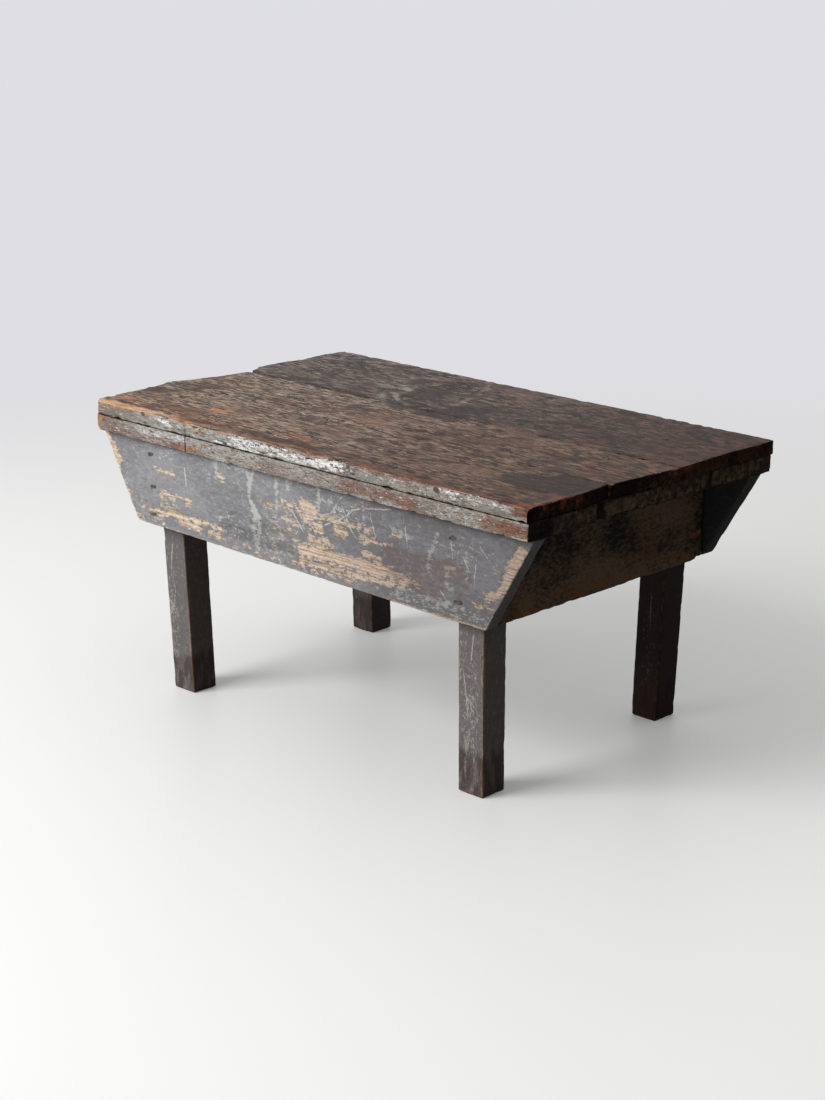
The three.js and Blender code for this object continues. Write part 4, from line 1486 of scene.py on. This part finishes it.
class BENCH_OT_legs(bpy.types.Operator):
    """Make the four square legs"""

    bl_idname = "bench.legs"
    bl_label = "Legs"

    def execute(self, context):
        slate = aged_timber("slate_painted_pine_leg", ALONG_Z, leg_look())
        blackened = aged_timber("blackened_pine_leg", ALONG_Z, far_leg_look())
        cells = seen_cells((ALONG_X, ALONG_Y, ALONG_Z))
        for name in LEGS:
            work, points, normals, fields = build_timber(name, cells, ALONG_Z, wear=0.45)
            corner, _ = corners_of(name)
            layout = face_layout(corner, ALONG_X, ALONG_Z, FRONT, LEG_REACH)
            marks = FRONT_LEG_MARKS if name.startswith("leg_front") else FAR_LEG_MARKS
            paint_marks(fields, points, normals, layout, marks)
            foot = np.minimum((FOOT_STAIN - points[:, ALONG_Z]) / FOOT_FADE, FOOT_SOLIDITY)
            fields["tint"] = np.maximum(fields["tint"], foot)
            fields["grime"] = np.maximum(fields["grime"], foot - FOOT_GRIME)
            # Painted shade: the right-hand sides, turned from the light, and the back legs under the
            # bench are darkened fully, the rest of each leg less.
            shaded = (normals[:, ALONG_X] > END_FACING) | name.startswith("leg_back")
            fields["shade_and_dirt"] = np.where(shaded, 1.0, LEG_DUSK)
            material = blackened if name == "leg_back_right" else slate
            finish_board(name, work, fields, material)
        return {"FINISHED"}


class BENCH_OT_nails(bpy.types.Operator):
    """Give the nails their rusted iron"""

    bl_idname = "bench.nails"
    bl_label = "Nails"

    def execute(self, context):
        material = rusted_iron()
        for name in NAILS:
            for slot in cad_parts[name].material_slots:
                slot.material = material
        return {"FINISHED"}


# The photographed view: places on the floor plan in metres, and angles in degrees.
CAMERA_PLACE = (2.4612, -2.5402, 1.3074)
CAMERA_YAW = 44.275
CAMERA_PITCH = -16.66
LENS_MM = 77.47
SENSOR_MM = 36.0

# The studio, in metres: a floor that fades into the wall's colour between two distances from the
# bench, with a little glow in its shadows.
FLOOR_RADIUS = 12.0
FLOOR_SEGMENTS = 96
FADE_START = 1.2
FADE_END = 2.7
FLOOR_GLOW = 0.14

# A large window far to the front left, and what it is turned to.
KEY_PLACE = Vector((-1.45, -3.5, 2.6))
KEY_AIM = Vector((0.0, 0.0, 0.2))
KEY_SIZE = 2.4
KEY_WATTS = 165.0

# The room's light: where its pale side and ceiling lie, how much of the room is dim and from where it
# is bright, as shares of that way, and the two strengths.
ROOM_SIDE = (-0.75, 0.1, 0.65)
DIM_UP_TO = -0.5
BRIGHT_FROM = 0.8
ROOM_DIM = 0.1
ROOM_BRIGHT = 0.68


def floor_material():
    """Painted concrete floor, pale and faintly glossy, that fades into the wall's colour far away."""
    tint = colours()
    material, tree = new_material("pale_studio_floor")
    where = node(tree, "TexCoord", {}, "Object")
    reach = node(tree, "VectorMath", {0: where}, "Value", operation="LENGTH")
    ray = node(tree, "LightPath", {}, "Is Camera Ray")
    inputs = {"Value": reach, "From Min": FADE_START, "From Max": FADE_END}
    fade = node(tree, "MapRange", inputs, **SMOOTH)
    fade = node(tree, "Math", {0: fade, 1: ray}, operation="MULTIPLY")
    # The camera sees a pale floor, and the bench is lit from below as if by a duller one.
    paint = layered(tree, tint.floor_bounce, tint.floor, ray)
    inputs = {"Base Color": paint, "Roughness": 0.4, "Specular IOR Level": 0.3}
    near = node(tree, "BsdfPrincipled", inputs)
    # A little of the floor's own white fills its shadows, for the camera only.
    white = node(tree, "Emission", {"Color": tint.floor, "Strength": 1.0})
    glow = node(tree, "Math", {0: ray, 1: FLOOR_GLOW}, operation="MULTIPLY")
    near = node(tree, "MixShader", {0: glow, 1: near, 2: white})
    far = node(tree, "Emission", {"Color": tint.backdrop, "Strength": 1.0})
    both = node(tree, "MixShader", {0: fade, 1: near, 2: far})
    node(tree, "OutputMaterial", {"Surface": both}, None)
    return material


def studio_world():
    """A pale room: bright to the left and above, dim to the right, and plain where the camera looks."""
    tint = colours()
    world = bpy.data.worlds.new("pale_studio")
    world.use_nodes = True
    tree = world.node_tree
    tree.nodes.clear()
    where = node(tree, "TexCoord", {}, "Generated")
    side = node(tree, "VectorMath", {0: where, 1: ROOM_SIDE}, "Value", operation="DOT_PRODUCT")
    inputs = {
        "Value": side,
        "From Min": DIM_UP_TO,
        "From Max": BRIGHT_FROM,
        "To Min": ROOM_DIM,
        "To Max": ROOM_BRIGHT,
    }
    glow = node(tree, "MapRange", inputs, **SMOOTH)
    light = node(tree, "Background", {"Color": (1, 1, 1, 1), "Strength": glow})
    seen = node(tree, "Background", {"Color": tint.backdrop, "Strength": 1.0})
    ray = node(tree, "LightPath", {}, "Is Camera Ray")
    both = node(tree, "MixShader", {0: ray, 1: light, 2: seen})
    node(tree, "OutputWorld", {"Surface": both}, None)
    bpy.context.scene.world = world


def aim(thing, target):
    thing.rotation_euler = (target - thing.location).to_track_quat("-Z", "Y").to_euler()


class BENCH_OT_stage(bpy.types.Operator):
    """Make the pale floor, the soft window light and the camera"""

    bl_idname = "bench.stage"
    bl_label = "Stage"

    def execute(self, context):
        work = bmesh.new()
        bmesh.ops.create_circle(work, cap_ends=True, radius=FLOOR_RADIUS, segments=FLOOR_SEGMENTS)
        mesh = bpy.data.meshes.new("studio_floor")
        work.to_mesh(mesh)
        work.free()
        mesh.materials.append(floor_material())
        floor = bpy.data.objects.new("studio_floor", mesh)
        context.scene.collection.objects.link(floor)
        studio_world()

        lamp = bpy.data.lights.new("window_light", "AREA")
        lamp.shape = "RECTANGLE"
        lamp.size = KEY_SIZE
        lamp.size_y = KEY_SIZE
        lamp.energy = KEY_WATTS
        window = bpy.data.objects.new("window_light", lamp)
        window.location = KEY_PLACE
        aim(window, KEY_AIM)
        context.scene.collection.objects.link(window)

        lens = bpy.data.cameras.new("photo_camera")
        lens.lens = LENS_MM
        lens.sensor_width = SENSOR_MM
        lens.sensor_fit = "AUTO"
        camera = bpy.data.objects.new("photo_camera", lens)
        camera.location = CAMERA_PLACE
        camera.rotation_euler = (math.radians(90 + CAMERA_PITCH), 0, math.radians(CAMERA_YAW))
        context.scene.collection.objects.link(camera)
        context.scene.camera = camera
        context.scene.view_settings.view_transform = "Standard"
        return {"FINISHED"}


class BENCH_PT_pieces(bpy.types.Panel):
    """Lists the pieces of the bench and their sizes and colours"""

    bl_idname = "BENCH_PT_pieces"
    bl_label = "Worn Nailed Bench"
    bl_space_type = "VIEW_3D"
    bl_region_type = "UI"
    bl_category = "Bench"

    def draw(self, context):
        layout = self.layout
        for operator in OPERATORS:
            layout.operator(operator.bl_idname)
        for group in (context.scene.bench_sizes, context.scene.bench_colours):
            column = layout.column(align=True)
            for name in group.__annotations__:
                column.prop(group, name)


OPERATORS = (
    BENCH_OT_stage,
    BENCH_OT_top_boards,
    BENCH_OT_under_boards,
    BENCH_OT_aprons,
    BENCH_OT_end_boards,
    BENCH_OT_legs,
    BENCH_OT_nails,
)
CLASSES = (BenchSizes, BenchColours, *OPERATORS, BENCH_PT_pieces)


def register():
    for each in CLASSES:
        bpy.utils.register_class(each)
    bpy.types.Scene.bench_sizes = PointerProperty(type=BenchSizes)
    bpy.types.Scene.bench_colours = PointerProperty(type=BenchColours)


def unregister():
    del bpy.types.Scene.bench_colours
    del bpy.types.Scene.bench_sizes
    for each in reversed(CLASSES):
        bpy.utils.unregister_class(each)


def main():
    register()
    bpy.ops.bench.stage()
    bpy.ops.bench.top_boards()
    bpy.ops.bench.under_boards()
    bpy.ops.bench.aprons()
    bpy.ops.bench.end_boards()
    bpy.ops.bench.legs()
    bpy.ops.bench.nails()


if __name__ == "__main__":
    main()
